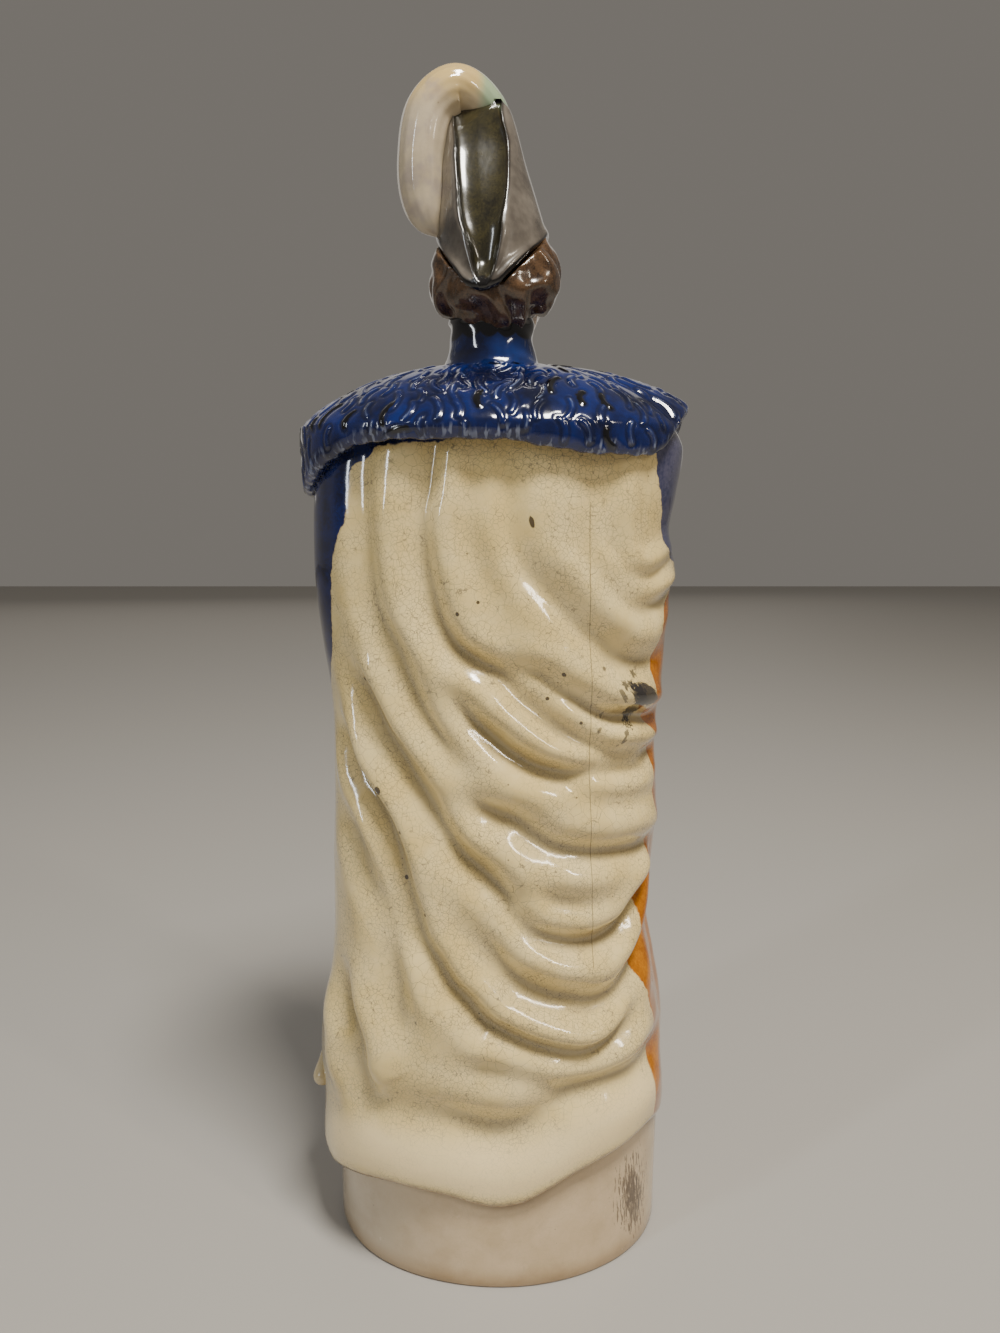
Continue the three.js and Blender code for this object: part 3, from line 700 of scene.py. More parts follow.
def swag_relief(bearing, z):
    """How far the folds lift or sink the cloth: rounded rolls, with a valley on each line."""
    u = bearing * ALONG_CLOTH
    relief = np.zeros_like(u)
    for depth, spread, stops in SWAGS:
        line = spline([(b * ALONG_CLOTH, height) for b, height in stops], 4)
        pace = np.hypot(*np.diff(line, axis=0).T)
        run = np.append(0, np.cumsum(pace))
        nearest = np.full(u.shape, np.inf)
        side = np.zeros_like(u)
        place = np.zeros_like(u)
        for i, (a, b) in enumerate(zip(line, line[1:])):
            along = b - a
            t = np.clip(((u - a[0]) * along[0] + (z - a[1]) * along[1]) / (along @ along), 0, 1)
            du, dz = u - a[0] - t * along[0], z - a[1] - t * along[1]
            away = du * du + dz * dz
            closer = away < nearest
            nearest = np.where(closer, away, nearest)
            turn = np.sign(along[0] * (z - a[1]) - along[1] * (u - a[0]))
            side = np.where(closer, turn, side)
            place = np.where(closer, run[i] + t * pace[i], place)
        away = np.sqrt(nearest) / spread
        roll = np.where(side > 0, fold_profile(away, **UPPER_SIDE), fold_profile(away, **LOWER_SIDE))
        fade = smooth(0, SWAG_FADE, place) * (1 - smooth(run[-1] - SWAG_FADE, run[-1], place))
        relief += depth * roll * fade
    relief = relief * SWAG_STRENGTH * (1 - 0.35 * smooth(205, 255, z))
    return relief * (1 - smooth(SWAG_END - 9, SWAG_END + 9, np.abs(bearing)))


def hem_relief(bearing, z):
    """The cloth sinks above the hem, so that the hem stands out as a thick roll."""
    above = z - HEM(bearing)
    behind = 1 - smooth(60, 95, np.abs(bearing))
    middle = np.exp(-(((bearing - 1) / 32) ** 2))
    sunk = -(2.2 + 4.6 * middle) * np.exp(-(((above - 27) / 9.5) ** 2))
    return behind * (sunk - 0.8 * (1 - smooth(0, 11, above)))


def front_relief(bearing, z):
    """The turned-back front edges stand proud, and between them the cloak is sunk."""
    edge = np.where(bearing < 0, -LEFT_EDGE(z), RIGHT_EDGE(z))
    past = np.abs(bearing) - edge
    return 3.4 * np.exp(-((past / 11) ** 2)) - 19 * smooth(5, 18, past)


def kept_in(deep, ease=1.5):
    """Eases what would pass the solid's back to a stop just inside it."""
    over = np.maximum(deep - BACK_LIMIT + ease, 0)
    return deep - over + ease * np.tanh(over / ease)


def cloak_grid(columns, cloth_rows):
    """Points, faces, and each point's bearing and height."""
    bearing = crowded(columns)
    hem = HEM(bearing)
    turn = np.radians(np.linspace(0, 90, 10))
    rises = np.concatenate([[1.5], HEM_THICKNESS * (1 - np.cos(turn))])
    inwards = np.concatenate([[HEM_THICKNESS + 2.6], HEM_THICKNESS * (1 - np.sin(turn))])
    share = np.linspace(0, 1, cloth_rows + 1)[1:, None]
    z = np.vstack([hem + rises[:, None], hem + HEM_THICKNESS + share * (CLOAK_TOP - hem - HEM_THICKNESS)])
    inward = np.concatenate([inwards, np.zeros(cloth_rows)])[:, None]
    bearings = np.broadcast_to(bearing, z.shape).copy()
    reach = {side: curve(z) for side, curve in CLOAK_REACH.items()}
    x, y = oval(bearings, reach)
    radius = np.hypot(x, y)
    relief = swag_relief(bearings, z) + front_relief(bearings, z) + hem_relief(bearings, z)
    grown = (radius + relief - inward) / radius
    rows = np.stack([x * grown, kept_in(y * grown), z], axis=-1)
    points, faces = closed_grid(rows, (0, 0, CLOAK_FLOOR), (0, 0, CLOAK_TOP))
    heights = np.append(z.ravel(), [CLOAK_FLOOR, CLOAK_TOP])
    return points, faces, np.append(bearings.ravel(), [0, 0]), heights


# Where the cloak's paints end, as the bearing at each height, but under the cape's lip as the height
# at each bearing, and the long crack as its distance to the right of the middle at each height.
SLEEVE_EDGE = through((
    (186, -125), (196, -84), (203, -70), (214, -60.6), (228, -56.8), (240, -54.5), (247, -52),
    (257, -46.8), (290, -46),
))
UNDER_LIP = through((
    (-66, 240), (-57, 262), (-53, 268), (-50, 263), (-47, 271), (-42, 274), (-36, 277.5), (-20, 279),
    (0, 281), (12, 286), (20, 300),
))
SHADE_EDGE = through(((238, 96), (244, 68), (249, 63), (261, 58), (272, 51), (288, 49)))
ORANGE_RIGHT = through((
    (24, 70), (36, 62), (60, 61), (74, 65), (92, 63), (109, 59.5), (128, 60.5), (138, 65),
    (160, 68), (176, 68), (198, 60), (217, 62), (226, 68), (236, 92), (270, 126),
))
ORANGE_LEFT = through((
    (24, -112), (60, -104), (78, -96), (92, -104), (130, -108), (200, -108), (270, -120),
))
CRACK_LINE = through((
    (110, 31), (130, 30.6), (150, 29.9), (167, 29.4), (180, 28.9), (199, 29.3), (219, 28.6), (262, 28),
))
CRACK_LOW = 112.0
CRACK_HIGH = 262.0


def cloak_masks(points, bearing, z):
    """The painted areas of the cloak, in millimetres inside each edge."""
    left_sleeve = (SLEEVE_EDGE(z) - bearing) * PAINT_ARC
    run = np.where((bearing > -70) & (bearing < 25), z - UNDER_LIP(bearing), -9)
    blue = np.minimum(np.maximum(left_sleeve, run), (bearing + 117) * PAINT_ARC)
    shade = np.minimum(np.minimum(bearing - SHADE_EDGE(z), 116 - bearing) * PAINT_ARC, z - 236)
    right = np.minimum(bearing - ORANGE_RIGHT(z), RIGHT_EDGE(z) + 9 - bearing)
    left = np.minimum(ORANGE_LEFT(z) - bearing, bearing - LEFT_EDGE(z) + 9)
    cracked = (z > CRACK_LOW) & (z < CRACK_HIGH) & (points[:, 1] > 0)
    crack = np.where(cracked, points[:, 0] + CRACK_LINE(z), 9.0)
    foot = z - HEM(bearing)
    orange = np.maximum(right, left) * PAINT_ARC
    return {"foot": foot, "blue": blue, "shade": shade, "orange": orange, "crack": crack}


# The shoulder cape, the collar, the hat and the plume


CAPE_REACH = {"left": 65.4, "right": 62.7, "back": 46.5, "front": 41.0}
# The height of the cape's lip at each bearing.
CAPE_LIP = through((
    (-180, 294), (-168, 274), (-150, 265), (-120, 262), (-85, 263), (-69, 267.5), (-52, 274),
    (-42, 277.5), (-28, 279.2), (0, 279), (17, 276.5), (30, 275), (48, 275), (56, 278.4), (63, 283),
    (71, 286.6), (80, 288), (90, 287.5), (101, 281), (130, 268), (150, 265), (168, 274), (180, 294),
))
CAPE_FLOOR = 286.0
CAPE_BRIM = 284.0
CAPE_CROWN = 306.5


def cape_grid(columns):
    """Points and faces of the cape, and how far each point is on its outside and above its lip."""
    bearing = crowded(columns, 12.0)
    lip = CAPE_LIP(bearing) + 0.35 * np.sin(np.radians(bearing * 41)) * np.cos(np.radians(bearing * 17))
    brim = np.maximum(CAPE_BRIM, lip + 4)

    def ring(share, z):
        x, y = oval(bearing, CAPE_REACH, 2.25)
        return np.stack([x * share, y * share, np.broadcast_to(z, x.shape)], axis=-1)

    under = [ring(0.80, lip + 4.0), ring(0.88, lip + 2.2), ring(0.93, lip + 0.7), ring(0.958, lip)]
    wall = [ring(0.98, lip + 0.7), ring(0.994, lip + 2.4)]
    wall += [ring(1.0, 0.5 * (lip + 2.4 + brim)), ring(0.998, brim)]
    dome = []
    for share in (0.985, 0.955, 0.9, 0.82, 0.72, 0.6, 0.46, 0.3):
        height = (CAPE_CROWN - brim) * np.maximum(0, 1 - share**2.2) ** 0.8
        dome.append(ring(share, brim + height))
    steps = [3, 3, 4, 4, 5, 8, 8, 6, 5, 7, 10, 12, 13, 13, 13]
    rows = spline(under + wall + dome, steps)
    outer_from = sum(steps[:4])
    points, faces = closed_grid(rows, (0, 0, CAPE_FLOOR), (0, 0, CAPE_CROWN))
    above = rows[..., 2] - lip
    outer = np.zeros(above.shape)
    outer[outer_from:] = smooth(-0.5, 2.5, above[outer_from:])
    masks = {"outer": np.append(outer.ravel(), [0, 0]), "above": np.append(above.ravel(), [5, 20])}
    return points, faces, masks


HEAD_TURN = np.radians(-10.0)
NECK = 0.5


def turned(x, y):
    """Head directions to figure directions: the head looks a little to the figure's right."""
    s, c = np.sin(HEAD_TURN), np.cos(HEAD_TURN)
    return NECK + x * c - y * s, x * s + y * c


def in_head(p):
    """Points in the head's own directions."""
    s, c = np.sin(HEAD_TURN), np.cos(HEAD_TURN)
    x, y = p[..., 0] - NECK, p[..., 1]
    return np.stack([x * c + y * s, y * c - x * s, p[..., 2]], axis=-1)


COLLAR_MIDDLE = 2.0


def collar_grid(columns=160):
    """The standing collar, a little wavy, drawn in at the neck and rolled over at the top."""
    turn = np.linspace(0, 2 * np.pi, columns, endpoint=False)
    profile = (
        (17.5, 300), (17.6, 303), (15.6, 306.5), (14.2, 310), (13.6, 314), (13.7, 317.5), (14.2, 319.4),
        (13.6, 320.6), (12.6, 320.9),
    )
    stops = []
    for radius, z in profile:
        wave = radius + 0.25 * np.sin(5 * turn + z)
        x, y = COLLAR_MIDDLE + wave * np.sin(turn), 0.94 * wave * np.cos(turn)
        stops.append(np.stack([x, y, np.full(columns, z)], axis=-1))
    rows = spline(stops, 5)
    return closed_grid(rows, (COLLAR_MIDDLE, 0, 300), (COLLAR_MIDDLE, 0, 322))


# The hat's sizes at each share of its height, and its rim at each bearing from the middle behind.
HAT_FOOT = 330.0
HAT_RISE = 59.0
HAT_RIM = through((
    (0, -0.078), (16, -0.05), (30, 0.02), (60, 0.16), (90, 0.26), (130, 0.285), (180, 0.3),
))
HAT_WIDE = through(((0, 17), (0.25, 17.6), (0.51, 15.2), (0.71, 13), (0.92, 9.6), (1, 6.5)))
HAT_BACK = through(((0, 22.4), (0.2, 22.2), (0.37, 20), (0.54, 16.8), (0.75, 11.6), (0.92, 7), (1, 4)))
HAT_FRONT = through(((0.2, 33), (0.34, 31.5), (0.51, 26), (0.71, 17), (0.92, 8.4), (1, 4)))
HAT_LEAN = through(((0.2, 0.6), (0.29, 1.4), (0.49, 2.85), (0.68, 4.4), (0.92, 5.0), (1, 5.2)))
CHANNEL_MIDDLE = through(((0.03, -0.5), (0.26, 0), (0.48, -1.0), (0.68, -1.5), (0.92, 0.5)))
CHANNEL_WIDE = through((
    (-0.078, 0.8), (0, 2.5), (0.07, 3.7), (0.17, 5.1), (0.3, 6.6), (0.42, 7.5), (0.68, 8.1), (0.95, 7.8),
))


def hat_outline(bearing, share, rim):
    """How far inside the black lines each point lies: down the left side, round the top, along the foot."""
    side_line = 1.6 - np.abs(bearing + 71) * 0.16
    top_line = (share - 0.955) * HAT_RISE
    foot_line = 1.6 - (share - rim) * HAT_RISE + 3 * (1 - smooth(0, 14, np.abs(bearing)))
    return np.maximum(np.maximum(side_line, top_line), foot_line)


def hat_grid(columns=240, height_rows=110):
    """The tall cocked hat: a leaning shell with a hollow channel up its back and a rolled foot."""
    bearing = crowded(columns)
    rim = HAT_RIM(np.abs(bearing))
    climb = np.sin(np.linspace(0, np.pi / 2, height_rows))[:, None]
    share = rim + (0.985 - rim) * climb
    bearings = np.broadcast_to(bearing, share.shape)
    wide = HAT_WIDE(share)
    reach = {"left": wide, "right": wide, "back": HAT_BACK(share), "front": HAT_FRONT(share)}
    x, y = oval(bearings, reach, 1.8)
    half = CHANNEL_WIDE(share)
    behind = np.abs(bearings) < 90
    away = np.abs(x - CHANNEL_MIDDLE(share))
    depth = 5.2 * np.maximum(0, 1 - (away / half) ** 2) ** 0.6 * smooth(-0.06, 0.1, share)
    bank = 0.4 * np.exp(-(((away / half - 1.22) / 0.16) ** 2))
    y = y + np.where(behind, bank - depth, 0)
    roll = 0.9 * np.exp(-(((share - rim - 0.03) / 0.03) ** 2))
    size = np.hypot(x, y)
    x, y = x * (1 + roll / size), y * (1 + roll / size)
    px, py = turned(x + HAT_LEAN(share), y)
    z = HAT_FOOT + share * HAT_RISE
    rows = np.stack([px, py, z], axis=-1)
    under = rows[:1].copy()
    centre = np.array(turned(0.0, 0.0))
    under[..., :2] = centre + 0.93 * (under[..., :2] - centre)
    under[..., 2] -= 0.2
    rows = np.concatenate([under, rows])
    top = (*turned(5.5, -1.0), HAT_FOOT + HAT_RISE)
    points, faces = closed_grid(rows, (*turned(0.0, 0.0), HAT_FOOT + 4), top)
    inside = np.where(behind, half - away, -6.0)
    outline = hat_outline(bearings, share, rim)
    masks = {}
    for name, mask in (("channel", inside), ("outline", outline)):
        masks[name] = np.append(np.vstack([mask[:1], mask]).ravel(), [mask[0].mean(), mask[-1].mean()])
    return points, faces, masks


# Along the plume: x, y and height over the hat's top, then half its thickness and half its width.
PLUME_STATIONS = (
    (-6, -17, -21, 2, 2.5), (-2, -14, -11, 4.6, 7), (3.4, -9, -1.6, 6.8, 9.5), (13, -5, 2.6, 8.2, 10.5),
    (21.6, -3.5, -4.4, 8.4, 10.5), (24.4, -2.5, -18, 8.1, 10), (23.8, -1.5, -29, 8.0, 8),
    (21.6, 0, -37, 6.2, 5.5), (18.6, 1.5, -43, 1.6, 2.2),
)


def plume_grid(columns=130, steps=20):
    """The plume: a thick feather bent over the hat, with shallow barbs combed along it."""
    stations = spline(PLUME_STATIONS, steps)
    middle = stations[:, :3] + np.array([0, 0, HAT_FOOT + HAT_RISE])
    run = np.gradient(middle, axis=0)
    run /= np.linalg.norm(run, axis=1)[:, None]
    across = np.array([0.0, 1.0, 0.0])
    outward = np.cross(run, across)
    outward /= np.linalg.norm(outward, axis=1)[:, None]
    count = len(middle)
    at = np.linspace(0, 1, count)
    end = np.sqrt(np.clip(1 - ((2 * at - 1) ** 12), 0, 1))
    turn = np.linspace(0, 2 * np.pi, columns, endpoint=False)
    barbs = 0.07 * np.sin(16 * turn + 9 * at[:, None]) * np.sin(np.pi * at[:, None])
    thick = stations[:, 3] * end
    wide = stations[:, 4] * end
    rows = (
        middle[:, None]
        + outward[:, None] * (thick[:, None] * np.cos(turn) + barbs * np.cos(turn))[..., None]
        + across * (wide[:, None] * np.sin(turn) + barbs * np.sin(turn))[..., None]
    )
    return closed_grid(rows[1:-1], middle[0], middle[-1])


# The head and the front of the figure


def hair_strands(p):
    """Wavy locks combed round the head, as a small relief."""
    around = np.arctan2(p[..., 0], p[..., 1])
    wave = np.sin(p[..., 2] * 0.3 + 2.4 * np.abs(around))
    return 0.6 * np.cos(7 * around + 2.2 * wave) + 0.14 * np.cos(22 * around + 5.0 * wave)


def under_hat(p):
    """Above the hat's lower edge this grows, so that what the hat covers is cut away."""
    bearing = np.degrees(np.arctan2(np.abs(p[..., 0]), p[..., 1]))
    return p[..., 2] - (HAT_FOOT + HAT_RISE * HAT_RIM(bearing) + 1.3)


def folded(p):
    """Points brought to the left side, so that a form made there stands on both sides."""
    mirrored = p.copy()
    mirrored[..., 0] = np.abs(p[..., 0])
    return mirrored


def head_forms(points):
    p = in_head(points)
    mirrored = folded(p)
    skull = ball(p, (0, 0, 337), (17, 19.5, 21))
    jaw = ball(p, (0, -6.5, 326), (13.2, 14, 15.2))
    chin = ball(p, (0, -16.6, 314.4), (5, 4, 3.6))
    bridge = rod(p, (0, -19, 335.5, 1.5), (0, -22.8, 326.8, 2.3))
    nose = melt([bridge, ball(mirrored, (2.1, -20.6, 325.9), (1.5, 2, 1.4))], 0.8)
    brow = rod(mirrored, (2.5, -18.8, 338.4, 1.6), (11, -15.2, 337.4, 1.4))
    cheek = ball(mirrored, (7.8, -14, 325.6), (5, 4.6, 4.8))
    neck = rod(p, (0, 1, 304, 11.5), (0, 1, 326, 11))
    face = melt([skull, jaw, chin, cheek, brow, neck], 2.2)
    socket = ball(mirrored, (6.5, -20.6, 333.8), (4.2, 3.4, 2.8))
    face = np.maximum(face, -socket)
    upper_lid = rod(mirrored, (3.4, -17.6, 334.6, 0.9), (9.6, -15.6, 334.4, 0.9))
    lower_lid = rod(mirrored, (3.6, -17.6, 331.6, 0.8), (9.4, -15.4, 331.9, 0.8))
    face = melt([face, nose, melt([upper_lid, lower_lid], 0.5)], 0.9)
    eye = ball(mirrored, (6.5, -14.9, 333.2), (3.3, 3.4, 2.4))
    upper_lip = rod(mirrored, (0, -20.6, 320.6, 1.1), (3.9, -19.2, 320.2, 0.6))
    lower_lip = rod(mirrored, (0, -20.3, 318.9, 1.2), (3.4, -19.1, 319.4, 0.6))
    lips = melt([upper_lip, lower_lip], 0.3)
    return {"flesh": face, "eye": eye, "lips": lips, "hair": hair_form(p, mirrored)}


def hair_form(p, mirrored):
    side = ball(mirrored, (15.2, 3.5, 331.5), (6.2, 10.5, 10.5))
    nape = melt([ball(p, (0, 9.5, 327.5), (15.6, 9.5, 9.2)), ball(p, (0, 6.5, 321.5), (12.6, 9, 6.5))], 2.0)
    crown = ball(p, (0, 2.4, 338), (18.2, 19.6, 20.5))
    lock = ball(mirrored, (15.4, -7.8, 334), (3.2, 4.8, 9.5))
    return melt([side, nape, crown, lock], 2.4) - hair_strands(p)


def head_form(points):
    forms = head_forms(points)
    whole = melt([forms["flesh"], forms["eye"]], 0.25)
    whole = melt([whole, forms["lips"]], 0.5)
    return np.maximum(melt([whole, forms["hair"]], 0.7), under_hat(in_head(points)))


COAT_WIDE = through((
    (136, 41), (150, 40), (176, 36), (202, 33), (226, 37), (250, 41), (274, 36), (290, 20),
))
COAT_DEEP = through((
    (136, 36), (150, 35), (176, 31.5), (202, 28.5), (226, 31), (250, 32.5), (274, 27), (290, 19),
))
COAT_MIDDLE = -4.0
COAT_FOOT = 136.0


def chain(p, *stops):
    """A run of tapered rods, each stop an (x, y, z, radius)."""
    return melt([rod(p, a, b) for a, b in zip(stops, stops[1:])], 1.5)


def coat_form(p):
    """The pleated coat, with the raised edge where its fronts overlap, and the chest above it."""
    z = p[..., 2]
    around = np.arctan2(p[..., 0], -(p[..., 1] - COAT_MIDDLE))
    pleats = 1.1 * (1 - smooth(150, 196, z)) * np.cos(15 * around)
    body = column(p, COAT_WIDE(z) + pleats, 10.0, COAT_DEEP(z) + pleats, middle=COAT_MIDDLE)
    overlap = 1.4 * np.exp(-((p[..., 0] / 1.1) ** 2)) * np.where(p[..., 1] < COAT_MIDDLE, 1, 0)
    chest = ball(p, (0, -8, 284), (17, 13, 8))
    return melt([both(body - overlap, COAT_FOOT - z, 2.0), chest], 3.0)


def sleeved_coat(p):
    left_arm = chain(p, (50, -3, 270, 9.4), (49.6, -8, 222, 8.6), (38, -33, 205, 7.2))
    right_arm = chain(p, (-47.5, -4, 270, 9), (-46, -11, 236, 8), (-33, -34, 236, 7.2))
    return melt([coat_form(p), left_arm, right_arm], 1.6)


def facing_form(p, mirrored):
    """Cuffs and lapels, and the cream knob low on the cloak's left edge."""
    left_cuff = rod(p, (38.6, -32.6, 205.2, 8.5), (35.4, -35.8, 204.6, 8.3))
    right_cuff = rod(p, (-34, -33.4, 236.2, 8.5), (-30, -36.6, 236.8, 8.3))
    lapels = chain(mirrored, (9, -25, 276, 6), (12.5, -30.6, 246, 6.6), (8, -27.6, 214, 5.6))
    facing = melt([np.minimum(left_cuff, right_cuff), lapels], 1.0)
    return np.minimum(facing, rod(p, (64.2, -15.4, 54.6, 3.0), (66.3, -3.0, 47.4, 3.7)))


def sash_form(p):
    z = p[..., 2]
    waist = column(p, COAT_WIDE(z) + 1.7, 10.0, COAT_DEEP(z) + 1.7, middle=COAT_MIDDLE)
    belt = np.maximum(waist, np.abs(z - 204.5) - 5.2)
    long_tail = chain(p, (-13, -34, 204, 4.6), (-15, -37, 190, 3.4), (-17, -37.5, 170, 4.4))
    short_tail = rod(p, (-11, -34, 203, 3.4), (-9, -38, 176, 3.8))
    return melt([belt, melt([long_tail, short_tail], 0.8)], 1.0)


LEFT_FINGERS = ((20, -43, 208), (18.6, -43, 205.2), (19, -43, 202.2), (20.6, -42.6, 199.6))
RIGHT_FINGERS = ((-14, -41, 243.4), (-12.8, -41, 240.6), (-13.2, -41, 237.8), (-15.4, -41, 235))


def hands_form(p):
    palms = melt([ball(p, (28, -41, 204.5), (6.2, 4, 4.8)), ball(p, (-22, -40, 239), (6.2, 4, 4.8))], 1.0)
    fingers = [rod(p, (27, -42, 204.5, 2.2), (*tip, 1.5)) for tip in LEFT_FINGERS]
    fingers += [rod(p, (-21, -41, 239.5, 2.2), (*tip, 1.5)) for tip in RIGHT_FINGERS]
    return melt([palms, *fingers], 0.9)


def boots_form(mirrored):
    shaft = chain(mirrored, (14.6, -21.4, 93, 8.8), (15.2, -20.4, 66, 8.2), (16, -19, 44, 6.4))
    top = rod(mirrored, (14.6, -21.5, 94, 9.6), (14.9, -21.3, 89, 9.2))
    foot = rod(mirrored, (16, -19, 40.5, 6.8), (20.5, -33.5, 39, 5.2))
    return melt([shaft, top, foot], 1.2)


def scabbard_form(p):
    chape = rod(p, (61.8, -20.4, 62, 2.8), (63.4, -17.6, 57, 2.9))
    return melt([rod(p, (33, -40, 194, 2.8), (61.8, -20.4, 62, 2.8)), chape], 0.8)


def gilt_form(p):
    """The sword's grip and guard, and the clasp at the neck."""
    grip = rod(p, (31, -42, 200, 2.3), (27, -43.4, 214, 2))
    guard = rod(p, (25.5, -42.5, 197, 1.7), (37.5, -40.5, 199.5, 1.7))
    return melt([grip, guard, ball(p, (0, -38, 291), (3, 2.6, 3))], 0.6)


def front_forms(p):
    mirrored = folded(p)
    return {
        "coat": sleeved_coat(p),
        "facing": facing_form(p, mirrored),
        "sash": sash_form(p),
        "hands": hands_form(p),
        "breeches": chain(mirrored, (13, -20, 150, 11), (14.5, -21.5, 100, 8.4)),
        "boots": boots_form(mirrored),
        "scabbard": scabbard_form(p),
        "hilt": gilt_form(p),
    }


def front_form(p):
    """Everything in front of the cloak, cut off flat inside it."""
    whole = melt(list(front_forms(p).values()), 0.8)
    return np.maximum(whole, p[..., 1] - 8.0)


# Fur marks and buttons, by Geometry Nodes


FUR_INPUTS = (
    ("Spacing", NUMBER, 0.005),
    ("Stroke Length", NUMBER, 0.008),
    ("Curl", NUMBER, 0.3),
    ("Lean", NUMBER, 0.35),
    ("Mark Height", NUMBER, 0.0005),
    ("Mark Width", NUMBER, 0.0006),
    ("Dab Share", NUMBER, 0.12),
    ("Seed", "NodeSocketInt", 7),
    ("Glaze", "NodeSocketMaterial", None),
)


def new_geometry_tree(name, inputs):
    group = bpy.data.node_groups.new(name, "GeometryNodeTree")
    group.interface.new_socket("Geometry", in_out="INPUT", socket_type="NodeSocketGeometry")
    group.interface.new_socket("Geometry", in_out="OUTPUT", socket_type="NodeSocketGeometry")
    for label, kind, default in inputs:
        socket = group.interface.new_socket(label, in_out="INPUT", socket_type=kind)
        if default is not None:
            socket.default_value = default
    tree = Tree(group)
    return tree, tree.add("NodeGroupInput").outputs, tree.add("NodeGroupOutput").inputs[0]


def named_value(tree, name):
    node = tree.add("GeometryNodeInputNamedAttribute", {"Name": name}, data_type="FLOAT")
    return node.outputs["Attribute"]


def random_number(tree, low, high, seed, offset):
    shifted = tree.plus(seed, offset)
    node = tree.add("FunctionNodeRandomValue", data_type="FLOAT")
    for key, value in (("Min", low), ("Max", high), ("Seed", shifted)):
        tree.feed_first(node, key, value)
    return [one for one in node.outputs if one.enabled][0]


def fur_strokes(tree, given, points, turn, chosen, reversed_curl):
    """Curved strokes standing on the points, as lines to measure from."""
    half = tree.times(given["Stroke Length"], 0.5)
    side = tree.times(half, given["Curl"])
    if reversed_curl:
        side = tree.times(side, -1.0)
    ends = []
    for factor in (-1.0, 1.0):
        xyz = {"Y": tree.times(half, factor)}
        ends.append(tree.add("ShaderNodeCombineXYZ", xyz).outputs[0])
    bend = tree.add("ShaderNodeCombineXYZ", {"X": tree.times(side, 2.0)}).outputs[0]
    bezier = {"Resolution": 6, "Start": ends[0], "Middle": bend, "End": ends[1]}
    curve = tree.add("GeometryNodeCurveQuadraticBezier", bezier).outputs[0]
    size = random_number(tree, 0.65, 1.2, given["Seed"], 5.0)
    values = {"Points": points, "Instance": curve, "Rotation": turn, "Selection": chosen, "Scale": size}
    copies = tree.add("GeometryNodeInstanceOnPoints", values).outputs[0]
    real = tree.add("GeometryNodeRealizeInstances", {"Geometry": copies}).outputs[0]
    return tree.add("GeometryNodeCurveToMesh", {"Curve": real}).outputs[0]


def stroke_turn(tree, given, normal):
    """Strokes lie in the surface, run outwards and down it, and lean away from the middle."""
    position = tree.add("GeometryNodeInputPosition").outputs[0]
    parts = tree.add("ShaderNodeSeparateXYZ", {0: position}).outputs
    outward = tree.add("ShaderNodeCombineXYZ", {"X": parts[0], "Y": parts[1], "Z": -0.03}).outputs[0]
    flat = {"Rotation": (0.0, 0.0, 0.0), "Vector": normal}
    upright = tree.add("FunctionNodeAlignRotationToVector", flat, axis="Z").outputs[0]
    along = {"Rotation": upright, "Vector": outward}
    laid = tree.add("FunctionNodeAlignRotationToVector", along, axis="Y", pivot_axis="Z").outputs[0]
    side = tree.math("SIGN", parts[0])
    spread = random_number(tree, -0.35, 0.35, given["Seed"], 3.0)
    angle = tree.math("MULTIPLY_ADD", side, given["Lean"], spread)
    euler = tree.add("ShaderNodeCombineXYZ", {"Z": angle}).outputs[0]
    extra = tree.add("FunctionNodeEulerToRotation", {0: euler}).outputs[0]
    return tree.add("FunctionNodeRotateRotation", {0: laid, 1: extra}, rotation_space="LOCAL").outputs[0]


def build_fur_tree():
    """Combed fur: strokes spread over the cape stand up as hairs with a groove beside them."""
    tree, given, result = new_geometry_tree("Fur Marks", FUR_INPUTS)
    cape = given["Geometry"]
    outer = named_value(tree, "outer")
    spread = {
        "Mesh": cape,
        "Distance Min": given["Spacing"],
        "Density Max": 200000.0,
        "Density Factor": outer,
        "Seed": given["Seed"],
    }
    scatter = tree.add("GeometryNodeDistributePointsOnFaces", spread, distribute_method="POISSON")
    turn = stroke_turn(tree, given, scatter.outputs["Normal"])
    chance = random_number(tree, 0.0, 1.0, given["Seed"], 11.0)
    first = tree.math("LESS_THAN", chance, 0.5)
    second = tree.math("GREATER_THAN", chance, 0.5)
    joined = tree.add("GeometryNodeJoinGeometry")
    for chosen, reversed_curl in ((first, False), (second, True)):
        strokes = fur_strokes(tree, given, scatter.outputs["Points"], turn, chosen, reversed_curl)
        tree.tree.links.new(strokes, joined.inputs[0])
    dabbed = tree.math("LESS_THAN", chance, given["Dab Share"])
    dabs = fur_strokes(tree, given, scatter.outputs["Points"], turn, dabbed, False)
    away = nearest_line(tree, joined.outputs[0])
    width = given["Mark Width"]
    hair = bell(tree, away, 0.0, width)
    groove = bell(tree, away, tree.times(width, 2.3), tree.times(width, 1.1))
    rise = tree.math("SUBTRACT", hair, tree.times(groove, 0.8))
    rise = tree.times(tree.times(rise, given["Mark Height"]), outer)
    normal = tree.add("GeometryNodeInputNormal").outputs[0]
    offset = tree.scaled(normal, rise)
    pressed = tree.add("GeometryNodeSetPosition", {"Geometry": cape, "Offset": offset}).outputs[0]
    pressed = store(tree, pressed, "fur", tree.math("DIVIDE", away, MILLIMETRE))
    pressed = store(tree, pressed, "dab", tree.math("DIVIDE", nearest_line(tree, dabs), MILLIMETRE))
    finish_tree(tree, given, pressed, result)
    return tree.tree


def nearest_line(tree, lines):
    node = tree.add("GeometryNodeProximity", {0: lines}, target_element="EDGES")
    return node.outputs["Distance"]


